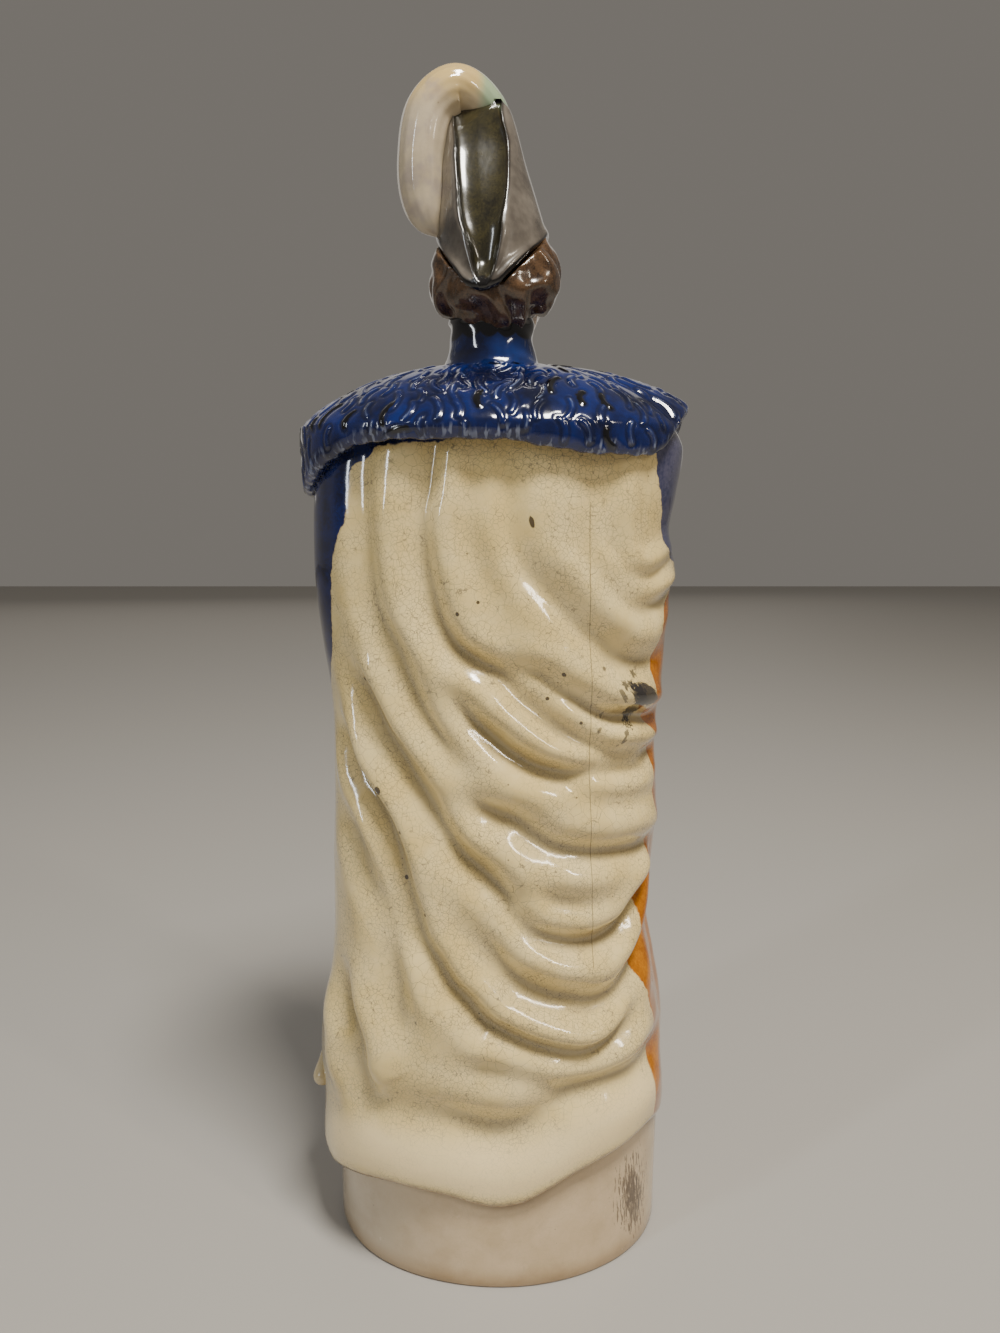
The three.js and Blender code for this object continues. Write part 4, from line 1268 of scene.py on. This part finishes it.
def bell(tree, away, middle, width):
    """1 at the middle, falling smoothly to nothing over the width."""
    share = tree.math("DIVIDE", tree.math("SUBTRACT", away, middle), width)
    return tree.math("EXPONENT", tree.times(tree.times(share, share), -1.0))


def store(tree, geometry, name, value):
    values = {"Geometry": geometry, "Name": name, "Value": value}
    return tree.add("GeometryNodeStoreNamedAttribute", values, data_type="FLOAT", domain="POINT").outputs[0]


def finish_tree(tree, given, geometry, result):
    real = tree.add("GeometryNodeRealizeInstances", {"Geometry": geometry}).outputs[0]
    glazed = tree.add("GeometryNodeSetMaterial", {"Geometry": real, "Material": given["Glaze"]}).outputs[0]
    tree.feed(result, glazed)


BUTTON_INPUTS = (
    ("Count", "NodeSocketInt", 6),
    ("First", "NodeSocketVector", (0.005, -0.08, 0.27)),
    ("Step", "NodeSocketVector", (0.0, 0.0, -0.011)),
    ("Radius", NUMBER, 0.0016),
    ("Glaze", "NodeSocketMaterial", None),
)


def build_button_tree():
    """Two rows of domed buttons, dropped on to the front of the coat."""
    tree, given, result = new_geometry_tree("Coat Buttons", BUTTON_INPUTS)
    mirrored = tree.vector("MULTIPLY", given["First"], (-1.0, 1.0, 1.0))
    joined = tree.add("GeometryNodeJoinGeometry")
    for first in (given["First"], mirrored):
        row = {"Count": given["Count"], "Start Location": first, "Offset": given["Step"]}
        line = tree.add("GeometryNodeMeshLine", row, mode="OFFSET").outputs[0]
        tree.tree.links.new(line, joined.inputs[0])
    position = tree.add("GeometryNodeInputPosition").outputs[0]
    cast = tree.add("GeometryNodeRaycast")
    for key, value in (("Target Geometry", given["Geometry"]), ("Source Position", position)):
        tree.feed_first(cast, key, value)
    tree.feed_first(cast, "Ray Direction", (0.0, 1.0, 0.0))
    tree.feed_first(cast, "Ray Length", 0.2)
    hit = {"Geometry": joined.outputs[0], "Position": cast.outputs["Hit Position"]}
    dropped = tree.add("GeometryNodeSetPosition", hit).outputs[0]
    flat = {"Rotation": (0.0, 0.0, 0.0), "Vector": cast.outputs["Hit Normal"]}
    turn = tree.add("FunctionNodeAlignRotationToVector", flat, axis="Z").outputs[0]
    knob = tree.add("GeometryNodeMeshUVSphere", {"Segments": 16, "Rings": 8, "Radius": given["Radius"]})
    values = {"Points": dropped, "Instance": knob.outputs[0], "Rotation": turn, "Scale": (1.0, 1.0, 0.6)}
    copies = tree.add("GeometryNodeInstanceOnPoints", values).outputs[0]
    smooth_copies = tree.add("GeometryNodeSetShadeSmooth", {"Geometry": copies}).outputs[0]
    finish_tree(tree, given, smooth_copies, result)
    return tree.tree


def grow(piece, group, values):
    """Runs a geometry tree on a piece and keeps the result as its plain mesh."""
    modifier = piece.modifiers.new(group.name, "NODES")
    modifier.node_group = group
    for item in group.interface.items_tree:
        if item.item_type == "SOCKET" and item.in_out == "INPUT" and item.name in values:
            modifier[item.identifier] = values[item.name]
    graph = bpy.context.evaluated_depsgraph_get()
    mesh = bpy.data.meshes.new_from_object(piece.evaluated_get(graph), depsgraph=graph)
    piece.modifiers.clear()
    piece.data = mesh
    mesh.name = piece.name
    return piece


# Colours and finishes


def tint(red, green, blue):
    """A screen colour, each part from 0 to 255, as the linear colour that shaders take."""
    parts = np.array([red, green, blue]) / 255
    return tuple(np.where(parts < 0.04045, parts / 12.92, ((parts + 0.055) / 1.055) ** 2.4).tolist())


COBALT = (tint(10, 30, 88), tint(4, 9, 34))
SHADOW_BLUE = (tint(84, 82, 104), tint(40, 44, 78))
ORANGE = (tint(192, 120, 0), tint(148, 80, 0))
FLESH = (tint(216, 186, 158), tint(196, 150, 118))
BROWN = (tint(100, 74, 50), tint(36, 25, 18))
BLACK = (tint(34, 30, 28), tint(12, 11, 12))
YELLOW = (tint(214, 176, 74), tint(176, 128, 34))
CREAM = (tint(206, 190, 152), tint(186, 165, 122))
OLIVE = (tint(58, 53, 32), tint(24, 22, 16))
SMOKE = tint(44, 41, 41)
IRON = tint(46, 34, 30)


def on_cloak(bearing, z, out=0.0):
    """A place on the cloak's surface, for a dab."""
    reach = {side: float(curve(np.array(z, float))) for side, curve in CLOAK_REACH.items()}
    x, y = oval(np.array(float(bearing)), reach)
    relief = swag_relief(np.array([float(bearing)]), np.array([float(z)]))[0]
    grown = 1 + (relief + out) / np.hypot(x, y)
    return np.array([x * grown, y * grown, z]) * TO_FRAME


def downhill(bearing, slant):
    """A direction lying in the cloak: straight down, swung by a slant in degrees."""
    turn, slant = np.radians(bearing), np.radians(slant)
    across = np.array([-np.cos(turn), -np.sin(turn), 0])
    return across * np.sin(slant) - np.array([0, 0, 1]) * np.cos(slant)


def cloak_dabs():
    """The cloak's own specks and one dark smear, as dabs."""
    specks = (
        (-46, 205.5, 0.9, 0.8), (-37.5, 170.5, 1.4, 1.25), (-11, 227.5, 0.7, 0.6),
        (-5.5, 231, 0.5, 0.5), (10, 255, 2.0, 0.75), (20, 208.7, 0.8, 0.7), (16, 201, 0.6, 0.6),
        (27, 193, 0.6, 0.5), (-54.5, 177.7, 0.8, 0.7), (-31, 141.5, 0.8, 0.7), (-29.8, 157.8, 0.6, 0.5),
        (-22.4, 131, 0.6, 0.6), (22.5, 58.5, 1.0, 0.9),
    )
    dabs = []
    for bearing, z, length, width in specks:
        dabs.append((on_cloak(bearing, z), downhill(bearing, 20), length, width, 0.25, IRON, 0.9))
    for bearing, z, slant, length, width, bristle, strength in (
        (52.5, 199.8, 60, 7.8, 3.8, 0.25, 0.95), (50, 195.8, -30, 6.8, 3.6, 0.3, 0.95),
        (48.0, 200.2, 35, 7.4, 2.8, 0.45, 0.92), (44.6, 204.2, 28, 7.0, 1.0, 0.9, 0.85),
        (41.6, 204.4, 24, 6.4, 0.8, 0.9, 0.8), (39.8, 201.4, 34, 5.4, 0.7, 0.9, 0.7),
        (48.0, 207.2, 10, 4.6, 0.9, 0.9, 0.75), (44.0, 188.4, -26, 7.2, 0.9, 0.8, 0.75),
        (41.6, 184.4, -22, 5.0, 0.5, 0.8, 0.6), (33.5, 190.4, -30, 4.0, 0.5, 0.6, 0.6),
        (37.0, 194.8, -36, 4.0, 0.5, 0.6, 0.5),
    ):
        direction = downhill(bearing, slant)
        dabs.append((on_cloak(bearing, z), direction, length, width, bristle, SMOKE, strength))
    return dabs


def cloak_material():
    def hem_highlight_shadow_and_dirt(tree, place, colour):
        """A paler, warmer roll at the hem painted as a highlight where it faces the light, and brown dirt
        with a painted shadow where it meets the base.
        """
        foot = tree.attribute("foot")
        wander = tree.math("MULTIPLY_ADD", tree.noise(place, 4.0, 3.0), 2.4, -1.2)
        # Brown dirt and a painted shadow along the hem's lower edge.
        low = tree.rise(tree.plus(foot, wander), 4.6, 2.0)
        # A painted highlight: the hem's roll is paler where it faces the light from above.
        roll = tree.times(tree.rise(foot, 3.0, 8.0), tree.rise(foot, 27.0, 16.0))
        bare = tree.rise(tree.attribute("orange"), 1.0, -1.0)
        colour = tree.mix(tree.times(tree.times(roll, bare), 0.75), colour, tint(248, 224, 172))
        return tree.mix(tree.times(low, 0.75), colour, tint(112, 80, 44))

    return glazed_material(
        "Cream Glaze",
        (tint(234, 211, 154), tint(222, 196, 131)),
        paints=[
            ("orange", *ORANGE, 1.6, 7.0),
            ("shade", *SHADOW_BLUE, 2.0, 9.0),
            ("blue", *COBALT, 1.8, 8.0),
        ],
        dabs=cloak_dabs(),
        edge_lines=("crack", 0.16, tint(70, 58, 44)),
        craze=0.8,
        specks=1.3,
        # Pooled glaze, deepened as painted shade, darkens the valleys between the swags.
        pool=tint(128, 114, 86),
        pool_from=0.1,
        pool_to=1.3,
        pool_share=0.62,
        cell=1.5,
        grime=hem_highlight_shadow_and_dirt,
    )


def base_material():
    def grime(tree, place, colour):
        """Yellow-brown dirt low on the wall, a painted shadow under the cloak's hem, and a cooler white
        towards the figure's left.
        """
        parts = tree.add("ShaderNodeSeparateXYZ", {0: place}).outputs
        cool = tree.rise(parts[0], 5.0, 50.0)
        colour = tree.mix(tree.times(cool, 0.7), colour, tint(178, 166, 146))
        patches = tree.rise(tree.noise(place, 13.0, 4.0, 0.6), 0.42, 0.66)
        # A painted shadow on the base under the cloak's hem.
        shadow = tree.rise(tree.attribute("seam"), 7.0, 3.0)
        colour = tree.mix(tree.times(shadow, 0.6), colour, tint(98, 74, 48))
        low = tree.rise(parts[2], 9.0, 0.0)
        dirt = tree.times(tree.plus(low, tree.times(patches, 0.25)), 0.6)
        return tree.mix(tree.math("MINIMUM", dirt, 0.75), colour, tint(140, 108, 62))

    spots = []
    for x, y, z, length, width, strength in (
        (-47.5, 27.8, 22.0, 8.0, 4.4, 0.8), (-46.0, 29.0, 26.0, 5.0, 3.6, 0.7),
        (-49.5, 25.6, 17.0, 6.0, 3.4, 0.7),
    ):
        spots.append(((x, y, z), (0.1, 0.0, 1.0), length, width, 2.3, tint(84, 66, 46), strength))
    return glazed_material(
        "Base Glaze",
        (tint(216, 192, 156), tint(205, 180, 142)),
        dabs=spots,
        craze=0.12,
        specks=0.6,
        pool_share=0.2,
        shine=0.2,
        grime=grime,
    )


def cape_material():
    def marks(tree, place, colour):
        """Paler along the raised hairs, where the glaze runs thin and a highlight is painted, darker beside
        them, where glaze pools and shade is painted, then a toothed lip and black dabs.
        """
        away = tree.attribute("fur")
        beside = tree.math("ABSOLUTE", tree.math("SUBTRACT", away, 1.3))
        pooled = tree.rise(beside, 0.85, 0.2)
        line = tree.rise(away, 0.5, 0.12)
        broken = tree.rise(tree.noise(place, 6.0, 3.0, 0.6), 0.46, 0.62)
        # Painted shade, with pooled glaze, beside the hairs.
        colour = tree.mix(tree.times(pooled, 0.55), colour, tint(6, 12, 34))
        # A painted highlight, with thin glaze, along the hairs.
        light = tree.times(tree.times(line, broken), 0.6)
        colour = tree.mix(light, colour, tint(112, 124, 150))
        above = tree.attribute("above")
        narrow = tree.vector("MULTIPLY", place, (1.0, 1.0, 0.16))
        stripes = tree.rise(tree.noise(narrow, 1.5, 2.0), 0.52, 0.62)
        teeth = tree.times(stripes, tree.rise(above, 5.0, 2.4))
        teeth = tree.times(teeth, tree.rise(tree.noise(place, 9.0, 2.0), 0.4, 0.56))
        colour = tree.mix(tree.times(teeth, 0.55), colour, tint(140, 148, 170))
        outer = tree.attribute("outer")
        wobble = tree.math("MULTIPLY_ADD", tree.noise(place, 1.8, 2.0), 1.6, -0.8)
        dab = tree.rise(tree.plus(tree.attribute("dab"), wobble), 1.35, 0.8)
        return tree.mix(tree.times(dab, outer), colour, tint(7, 7, 11))

    return glazed_material(
        "Cobalt Fur Glaze",
        (tint(12, 32, 94), tint(4, 10, 38)),
        craze=0.0,
        specks=0.0,
        pool=tint(6, 12, 30),
        pool_from=0.0,
        pool_to=0.3,
        pool_share=0.7,
        edge_lines=("lip", 0.6, tint(190, 184, 170)),
        shine=0.13,
        grime=marks,
    )


def collar_material():
    def scallops(tree, place, colour):
        """A dark scalloped line under the collar's top, and black above its scallops."""
        parts = tree.add("ShaderNodeSeparateXYZ", {0: place}).outputs
        scallop = tree.math("ABSOLUTE", tree.math("SINE", tree.times(parts[0], 0.55)))
        under = tree.math("MULTIPLY_ADD", scallop, -2.2, tree.math("SUBTRACT", 319.0, parts[2]))
        line = tree.rise(tree.math("ABSOLUTE", under), 1.3, 0.6)
        black = tree.rise(tree.math("MULTIPLY_ADD", scallop, 1.6, parts[2]), 314.2, 315.2)
        band = tree.math("MAXIMUM", line, black)
        return tree.mix(band, colour, tint(9, 10, 18))

    chip = ((3.5, 13.0, 315.0), (0.97, 0.0, -0.2), 2.6, 0.55, 0.5, tint(206, 204, 200), 0.9)
    side = ((-14.0, 8.0, 312.0), (0.0, 0.0, 1.0), 6.0, 3.6, 1.0, tint(96, 98, 108), 0.7)
    other = ((17.0, 6.0, 311.0), (0.0, 0.0, 1.0), 6.0, 3.0, 1.0, tint(96, 98, 108), 0.6)
    return glazed_material(
        "Collar Glaze",
        (tint(18, 42, 100), tint(9, 18, 50)),
        dabs=[side, other, chip],
        craze=0.0,
        specks=0.0,
        pool=tint(8, 14, 30),
        shine=0.08,
        grime=scallops,
    )


def hat_material():
    return glazed_material(
        "Black Hat Glaze",
        # The grey ground is a painted reflection of the room on the hat's black glaze.
        (tint(116, 108, 98), tint(66, 60, 54)),
        paints=[("channel", *OLIVE, 0.7, 5.0), ("outline", tint(16, 13, 14), tint(8, 7, 8), 0.5, 4.0)],
        craze=0.0,
        specks=0.0,
        pool=tint(10, 9, 10),
        edge_lines=("channel", 1.2, tint(14, 12, 11)),
        shine=0.17,
    )


def plume_material():
    def tips(tree, place, colour):
        """Yellow over the top of the plume and a green edge where it leaves the hat."""
        parts = tree.add("ShaderNodeSeparateXYZ", {0: place}).outputs
        wander = tree.math("MULTIPLY_ADD", tree.noise(place, 6.0, 2.0), 6.0, -3.0)
        top = tree.rise(tree.plus(parts[2], wander), 382.0, 394.0)
        colour = tree.mix(tree.times(top, 0.8), colour, tint(208, 176, 104))
        cloudy = tree.rise(tree.noise(place, 9.0, 3.0, 0.6), 0.5, 0.72)
        colour = tree.mix(tree.times(cloudy, 0.5), colour, tint(150, 138, 138))
        inner = tree.rise(tree.plus(parts[0], tree.times(wander, 0.4)), 7.5, 3.0)
        edge = tree.times(inner, tree.rise(parts[2], 379.0, 385.0))
        return tree.mix(tree.times(edge, 0.75), colour, tint(128, 166, 138))

    return glazed_material(
        "Plume Glaze",
        (tint(196, 180, 152), tint(176, 160, 134)),
        craze=0.1,
        specks=0.3,
        pool=tint(120, 108, 90),
        pool_share=0.5,
        shine=0.09,
        grime=tips,
    )


def head_material():
    return glazed_material(
        "Head Glaze",
        (tint(216, 190, 160), tint(208, 176, 144)),
        paints=[
            ("hair", *BROWN, 0.5, 3.0),
            ("eye", tint(228, 220, 204), tint(214, 204, 186), 0.1, 3.0),
            ("lips", tint(176, 96, 80), tint(164, 84, 70), 0.1, 3.0),
            ("iris", tint(60, 44, 34), tint(40, 30, 26), 0.1, 3.0),
            ("brows", tint(84, 62, 46), tint(62, 46, 34), 0.4, 3.0),
        ],
        craze=0.15,
        specks=0.2,
        pool=tint(60, 44, 32),
        pool_share=0.75,
        shine=0.16,
    )


def front_material():
    return glazed_material(
        "Painted Front Glaze",
        COBALT,
        paints=[
            ("facing", *CREAM, 0.3, 6.0),
            ("sash", *ORANGE, 0.3, 6.0),
            ("hands", *FLESH, 0.2, 5.0),
            ("breeches", *CREAM, 0.3, 8.0),
            ("boots", *BLACK, 0.3, 6.0),
            ("scabbard", *BLACK, 0.2, 6.0),
            ("hilt", *YELLOW, 0.2, 5.0),
        ],
        craze=0.2,
        specks=0.3,
        pool=tint(10, 14, 26),
        pool_share=0.5,
    )


def button_material():
    return glazed_material("Button Glaze", YELLOW, craze=0.0, specks=0.0, pool_share=0.0)


# The pieces


def make_base(settings):
    bearing = crowded(220, 0.0)
    behind = 1 - smooth(80, 106, np.abs(bearing))
    top = BASE_TOP + np.maximum(HEM(bearing) + 4.0 - BASE_TOP, 0) * behind
    profile = [(0.9, 0.0), (0.25, 0.35), (0.0, 1.0)]
    rows = []
    for inset, z in profile:
        rows.append((inset, np.full(bearing.shape, z)))
    for share in np.linspace(0.06, 0.9, 26):
        rows.append((0.0, 1.0 + share * (top - 1.0)))
    for inset, drop in ((0.1, 2.0), (0.5, 0.9), (1.2, 0.3), (2.2, 0.0)):
        rows.append((inset, top - drop))
    for inset in (5, 10, 16, 24, 34):
        rows.append((inset, top - 0.02 * inset))
    grid = []
    for inset, z in rows:
        reach = {side: value - inset for side, value in BASE.items()}
        x, y = oval(bearing, reach, 2.05)
        swell = 1 + settings.unevenness / MILLIMETRE * uneven(bearing, z) / np.hypot(x, y)
        grid.append(np.stack([x * swell, y * swell, z], axis=-1))
    points, faces = closed_grid(np.array(grid), (0, 0, 0), (0, 0, BASE_TOP - 1))
    # How far below its top the base lies behind the cloak: where a shadow is painted under the hem.
    seam = np.array([np.where(behind > 0.5, top - z, 30) for _, z in rows]).ravel()
    piece = new_piece("base", points, faces, base_material(), {"seam": np.append(seam, [30, 30])})
    fit_to_frame(piece)


def uneven(bearing, z):
    """The slight waviness of a hand-pressed wall, never outside its drawn oval."""
    t = np.radians(bearing)
    return -0.5 + 0.28 * np.sin(3 * t + 0.09 * z) + 0.22 * np.sin(7 * t - 0.05 * z + 1.0)


def make_cloak(settings):
    points, faces, bearing, z = cloak_grid(settings.columns, settings.rows)
    masks = cloak_masks(points, bearing, z)
    fit_to_frame(new_piece("cloak", points, faces, cloak_material(), masks, hollow_passes=60))


def make_cape(settings):
    points, faces, masks = cape_grid(settings.columns)
    masks["lip"] = np.where(masks["outer"] > 0, np.abs(masks["above"] + 0.1), 9.0)
    material = cape_material()
    piece = new_piece("shoulder_cape", points, faces, material, masks, hollow_passes=6)
    values = {
        "Spacing": settings.mark_spacing,
        "Stroke Length": settings.mark_length,
        "Mark Height": settings.mark_height,
        "Glaze": material,
    }
    grow(piece, build_fur_tree(), values)
    fit_to_frame(piece)


def make_collar():
    points, faces = collar_grid()
    fit_to_frame(new_piece("collar", points, faces, collar_material()))


def make_head(settings):
    points, faces = sculpt(head_form, (-26, -30, 308), (28, 26, 360), settings.detail / MILLIMETRE)
    forms = head_forms(points)
    masks = paint_masks(forms)
    p = folded(in_head(points))
    masks["iris"] = 1.3 - np.hypot(p[:, 0] - 6.5, p[:, 2] - 333.2) - 9 * (p[:, 1] > -10)
    masks["brows"] = 1.6 - rod(p, (3.2, -18.9, 339.2, 0), (10.6, -16.2, 338.6, 0))
    masks.pop("flesh")
    fit_to_frame(new_piece("head", points, faces, head_material(), masks, hollow_passes=6))


def make_hat():
    points, faces, masks = hat_grid()
    fit_to_frame(new_piece("hat", points, faces, hat_material(), masks, hollow_passes=10))


def make_plume():
    points, faces = plume_grid()
    fit_to_frame(new_piece("plume", points, faces, plume_material(), hollow_passes=8))


def make_front(settings):
    points, faces = sculpt(front_form, (-64, -47, 33), (71, 11, 297), settings.detail / MILLIMETRE)
    masks = paint_masks(front_forms(points))
    masks.pop("coat")
    fit_to_frame(new_piece("officer_front", points, faces, front_material(), masks, hollow_passes=8))


def make_buttons(settings):
    coat = bpy.data.objects.get("officer_front")
    if coat is None:
        raise RuntimeError("the buttons sit on the coat, so the front comes first")
    material = button_material()
    piece = bpy.data.objects.new("buttons", coat.data)
    bpy.context.scene.collection.objects.link(piece)
    values = {"Count": settings.count, "Radius": settings.radius, "Glaze": material}
    grow(piece, build_button_tree(), values)
    fit_to_frame(piece)


# Stage, lights and camera


HALF_FLOOR = 3.0
# Each lamp's name, place, size in metres, power in watts and colour.
LAMPS = (
    ("Window", (1.0, 0.8, 0.75), (0.09, 0.7), 5.0, (0.88, 0.94, 1.0)),
    ("Lamp", (-0.95, 0.75, 0.9), (0.07, 0.35), 3.0, (1.0, 0.9, 0.76)),
    ("Ceiling", (-0.28, 0.5, 1.4), (0.34, 0.26), 27.0, (1.0, 0.96, 0.88)),
    ("Front", (0.3, -2.2, 1.1), (2.6, 1.6), 6.0, (1.0, 0.95, 0.88)),
)
LAMP_TARGET = (0, 0, 0.2)
ROOM_STRENGTH = 0.22
CAMERA_PLACE = (-0.0007, 0.332, 0.2584)
CAMERA_DIP = 9.2
SENSOR_HEIGHT = 36.0
FOCAL_LENGTH = 25.98


def add_floor(colour):
    material = bpy.data.materials.new("Pale Floor")
    material.use_nodes = True
    shader = material.node_tree.nodes["Principled BSDF"]
    shader.inputs["Base Color"].default_value = (*colour, 1)
    shader.inputs["Roughness"].default_value = 0.6
    mesh = bpy.data.meshes.new("floor")
    corners = [(x * HALF_FLOOR, y * HALF_FLOOR, 0) for x, y in ((-1, -1), (1, -1), (1, 1), (-1, 1))]
    mesh.from_pydata(corners, [], [[0, 1, 2, 3]])
    mesh.materials.append(material)
    piece = bpy.data.objects.new("floor", mesh)
    bpy.context.scene.collection.objects.link(piece)


def add_soft_light(name, place, size, power, colour):
    light = bpy.data.lights.new(name, "AREA")
    light.shape = "RECTANGLE"
    light.size, light.size_y = size
    light.energy = power
    light.color = colour
    lamp = bpy.data.objects.new(name, light)
    lamp.location = place
    lamp.rotation_euler = (Vector(LAMP_TARGET) - Vector(place)).to_track_quat("-Z", "Y").to_euler()
    bpy.context.scene.collection.objects.link(lamp)


def light_room(colour):
    world = bpy.data.worlds.new("Studio")
    world.use_nodes = True
    background = world.node_tree.nodes["Background"]
    background.inputs["Color"].default_value = (*colour, 1)
    background.inputs["Strength"].default_value = ROOM_STRENGTH
    bpy.context.scene.world = world


def add_camera():
    lens = bpy.data.cameras.new("Photo Camera")
    lens.sensor_fit = "VERTICAL"
    lens.sensor_height = SENSOR_HEIGHT
    lens.lens = FOCAL_LENGTH
    lens.clip_start = 0.01
    camera = bpy.data.objects.new("Photo Camera", lens)
    camera.location = CAMERA_PLACE
    camera.rotation_euler = (np.radians(90 - CAMERA_DIP), 0, np.pi)
    bpy.context.scene.collection.objects.link(camera)
    bpy.context.scene.camera = camera


def make_stage(settings):
    add_floor(settings.floor_colour)
    for name, place, size, power, colour in LAMPS:
        add_soft_light(name, place, size, power * settings.light, colour)
    light_room(settings.room_colour)
    add_camera()


# What a user may change, the operators and the panel


def colour_property(name, description, default):
    return bpy.props.FloatVectorProperty(
        name=name, description=description, default=default, size=3, subtype="COLOR", min=0, max=1
    )


def length_property(name, description, default, low, high):
    return bpy.props.FloatProperty(
        name=name, description=description, default=default, min=low, max=high,
        subtype="DISTANCE", unit="LENGTH", precision=5,
    )


def count_property(name, description, default, low, high):
    return bpy.props.IntProperty(name=name, description=description, default=default, min=low, max=high)


class BaseSettings(bpy.types.PropertyGroup):
    unevenness: length_property("Unevenness", "How far the pressed wall wavers", 0.0004, 0, 0.002)


class CloakSettings(bpy.types.PropertyGroup):
    columns: count_property("Columns", "Points round the cloak", 360, 80, 600)
    rows: count_property("Rows", "Points up the cloak", 250, 60, 500)


class CapeSettings(bpy.types.PropertyGroup):
    columns: count_property("Columns", "Points round the cape", 560, 120, 900)
    mark_spacing: length_property("Mark Spacing", "Least distance between fur marks", 0.0064, 0.002, 0.02)
    mark_length: length_property("Mark Length", "Usual length of a fur mark", 0.0086, 0.003, 0.02)
    mark_height: length_property("Mark Height", "How high a fur mark stands", 0.0003, 0, 0.002)


class HeadSettings(bpy.types.PropertyGroup):
    detail: length_property("Detail", "Size of the mesh on the head", 0.0007, 0.0004, 0.003)


class FrontSettings(bpy.types.PropertyGroup):
    detail: length_property("Detail", "Size of the mesh on the front", 0.0012, 0.0006, 0.004)


class ButtonSettings(bpy.types.PropertyGroup):
    count: count_property("Count", "Buttons in each row", 6, 1, 12)
    radius: length_property("Radius", "Radius of a button", 0.0016, 0.0005, 0.005)


class StageSettings(bpy.types.PropertyGroup):
    light: bpy.props.FloatProperty(
        name="Light", description="Strength of all lamps", default=1.0, min=0, max=10
    )
    floor_colour: colour_property("Floor", "Colour of the floor", (0.4, 0.38, 0.35))
    room_colour: colour_property("Room", "Colour of the light from the room", (0.82, 0.76, 0.68))


class FIGURE_OT_base(bpy.types.Operator):
    """Build the plain base, which rises behind the cloak"""

    bl_idname = "figure.base"
    bl_label = "Base"

    def execute(self, context):
        make_base(context.scene.figure_base)
        return {"FINISHED"}


class FIGURE_OT_cloak(bpy.types.Operator):
    """Build the cloak with its swags, rolled hem and painted lining"""

    bl_idname = "figure.cloak"
    bl_label = "Cloak"

    def execute(self, context):
        make_cloak(context.scene.figure_cloak)
        return {"FINISHED"}


class FIGURE_OT_cape(bpy.types.Operator):
    """Build the shoulder cape and comb its fur marks"""

    bl_idname = "figure.cape"
    bl_label = "Shoulder Cape"

    def execute(self, context):
        make_cape(context.scene.figure_cape)
        return {"FINISHED"}


class FIGURE_OT_collar(bpy.types.Operator):
    """Build the standing collar"""

    bl_idname = "figure.collar"
    bl_label = "Collar"

    def execute(self, context):
        make_collar()
        return {"FINISHED"}


class FIGURE_OT_head(bpy.types.Operator):
    """Sculpt the head and its wavy hair"""

    bl_idname = "figure.head"
    bl_label = "Head"

    def execute(self, context):
        make_head(context.scene.figure_head)
        return {"FINISHED"}


class FIGURE_OT_hat(bpy.types.Operator):
    """Build the cocked hat and its plume"""

    bl_idname = "figure.hat"
    bl_label = "Hat and Plume"

    def execute(self, context):
        make_hat()
        make_plume()
        return {"FINISHED"}


class FIGURE_OT_front(bpy.types.Operator):
    """Sculpt the officer's front: coat, arms, sash, legs and sword"""

    bl_idname = "figure.front"
    bl_label = "Front"

    def execute(self, context):
        make_front(context.scene.figure_front)
        return {"FINISHED"}


class FIGURE_OT_buttons(bpy.types.Operator):
    """Set two rows of buttons on the coat"""

    bl_idname = "figure.buttons"
    bl_label = "Buttons"

    def execute(self, context):
        make_buttons(context.scene.figure_buttons)
        return {"FINISHED"}


class FIGURE_OT_stage(bpy.types.Operator):
    """Lay the floor and set up the lights and the camera"""

    bl_idname = "figure.stage"
    bl_label = "Stage"

    def execute(self, context):
        make_stage(context.scene.figure_stage)
        return {"FINISHED"}


OPERATORS = (
    FIGURE_OT_base,
    FIGURE_OT_cloak,
    FIGURE_OT_cape,
    FIGURE_OT_collar,
    FIGURE_OT_head,
    FIGURE_OT_hat,
    FIGURE_OT_front,
    FIGURE_OT_buttons,
    FIGURE_OT_stage,
)
SETTINGS = {
    "figure_base": BaseSettings,
    "figure_cloak": CloakSettings,
    "figure_cape": CapeSettings,
    "figure_head": HeadSettings,
    "figure_front": FrontSettings,
    "figure_buttons": ButtonSettings,
    "figure_stage": StageSettings,
}


class FIGURE_PT_pieces(bpy.types.Panel):
    """The figure's pieces and what may be changed on each"""

    bl_label = "Flatback Figure"
    bl_idname = "FIGURE_PT_pieces"
    bl_space_type = "VIEW_3D"
    bl_region_type = "UI"
    bl_category = "Figure"

    def draw(self, context):
        for operator in OPERATORS:
            self.layout.operator(operator.bl_idname)
        for name, group in SETTINGS.items():
            box = self.layout.box()
            for key in group.__annotations__:
                box.prop(getattr(context.scene, name), key)


def register():
    for group in SETTINGS.values():
        bpy.utils.register_class(group)
    for kind in (*OPERATORS, FIGURE_PT_pieces):
        bpy.utils.register_class(kind)
    for name, group in SETTINGS.items():
        setattr(bpy.types.Scene, name, bpy.props.PointerProperty(type=group))


def unregister():
    for name in SETTINGS:
        delattr(bpy.types.Scene, name)
    for kind in (*SETTINGS.values(), *OPERATORS, FIGURE_PT_pieces):
        bpy.utils.unregister_class(kind)


SHADER_GROUPS = (
    build_crackle_group,
    build_specks_group,
    build_mottle_group,
    build_edge_group,
    build_dab_group,
    build_ripple_group,
)


def main():
    register()
    for build_group in SHADER_GROUPS:
        build_group()
    for operator in OPERATORS:
        getattr(bpy.ops.figure, operator.bl_idname.split(".")[1])()


if __name__ == "__main__":
    main()
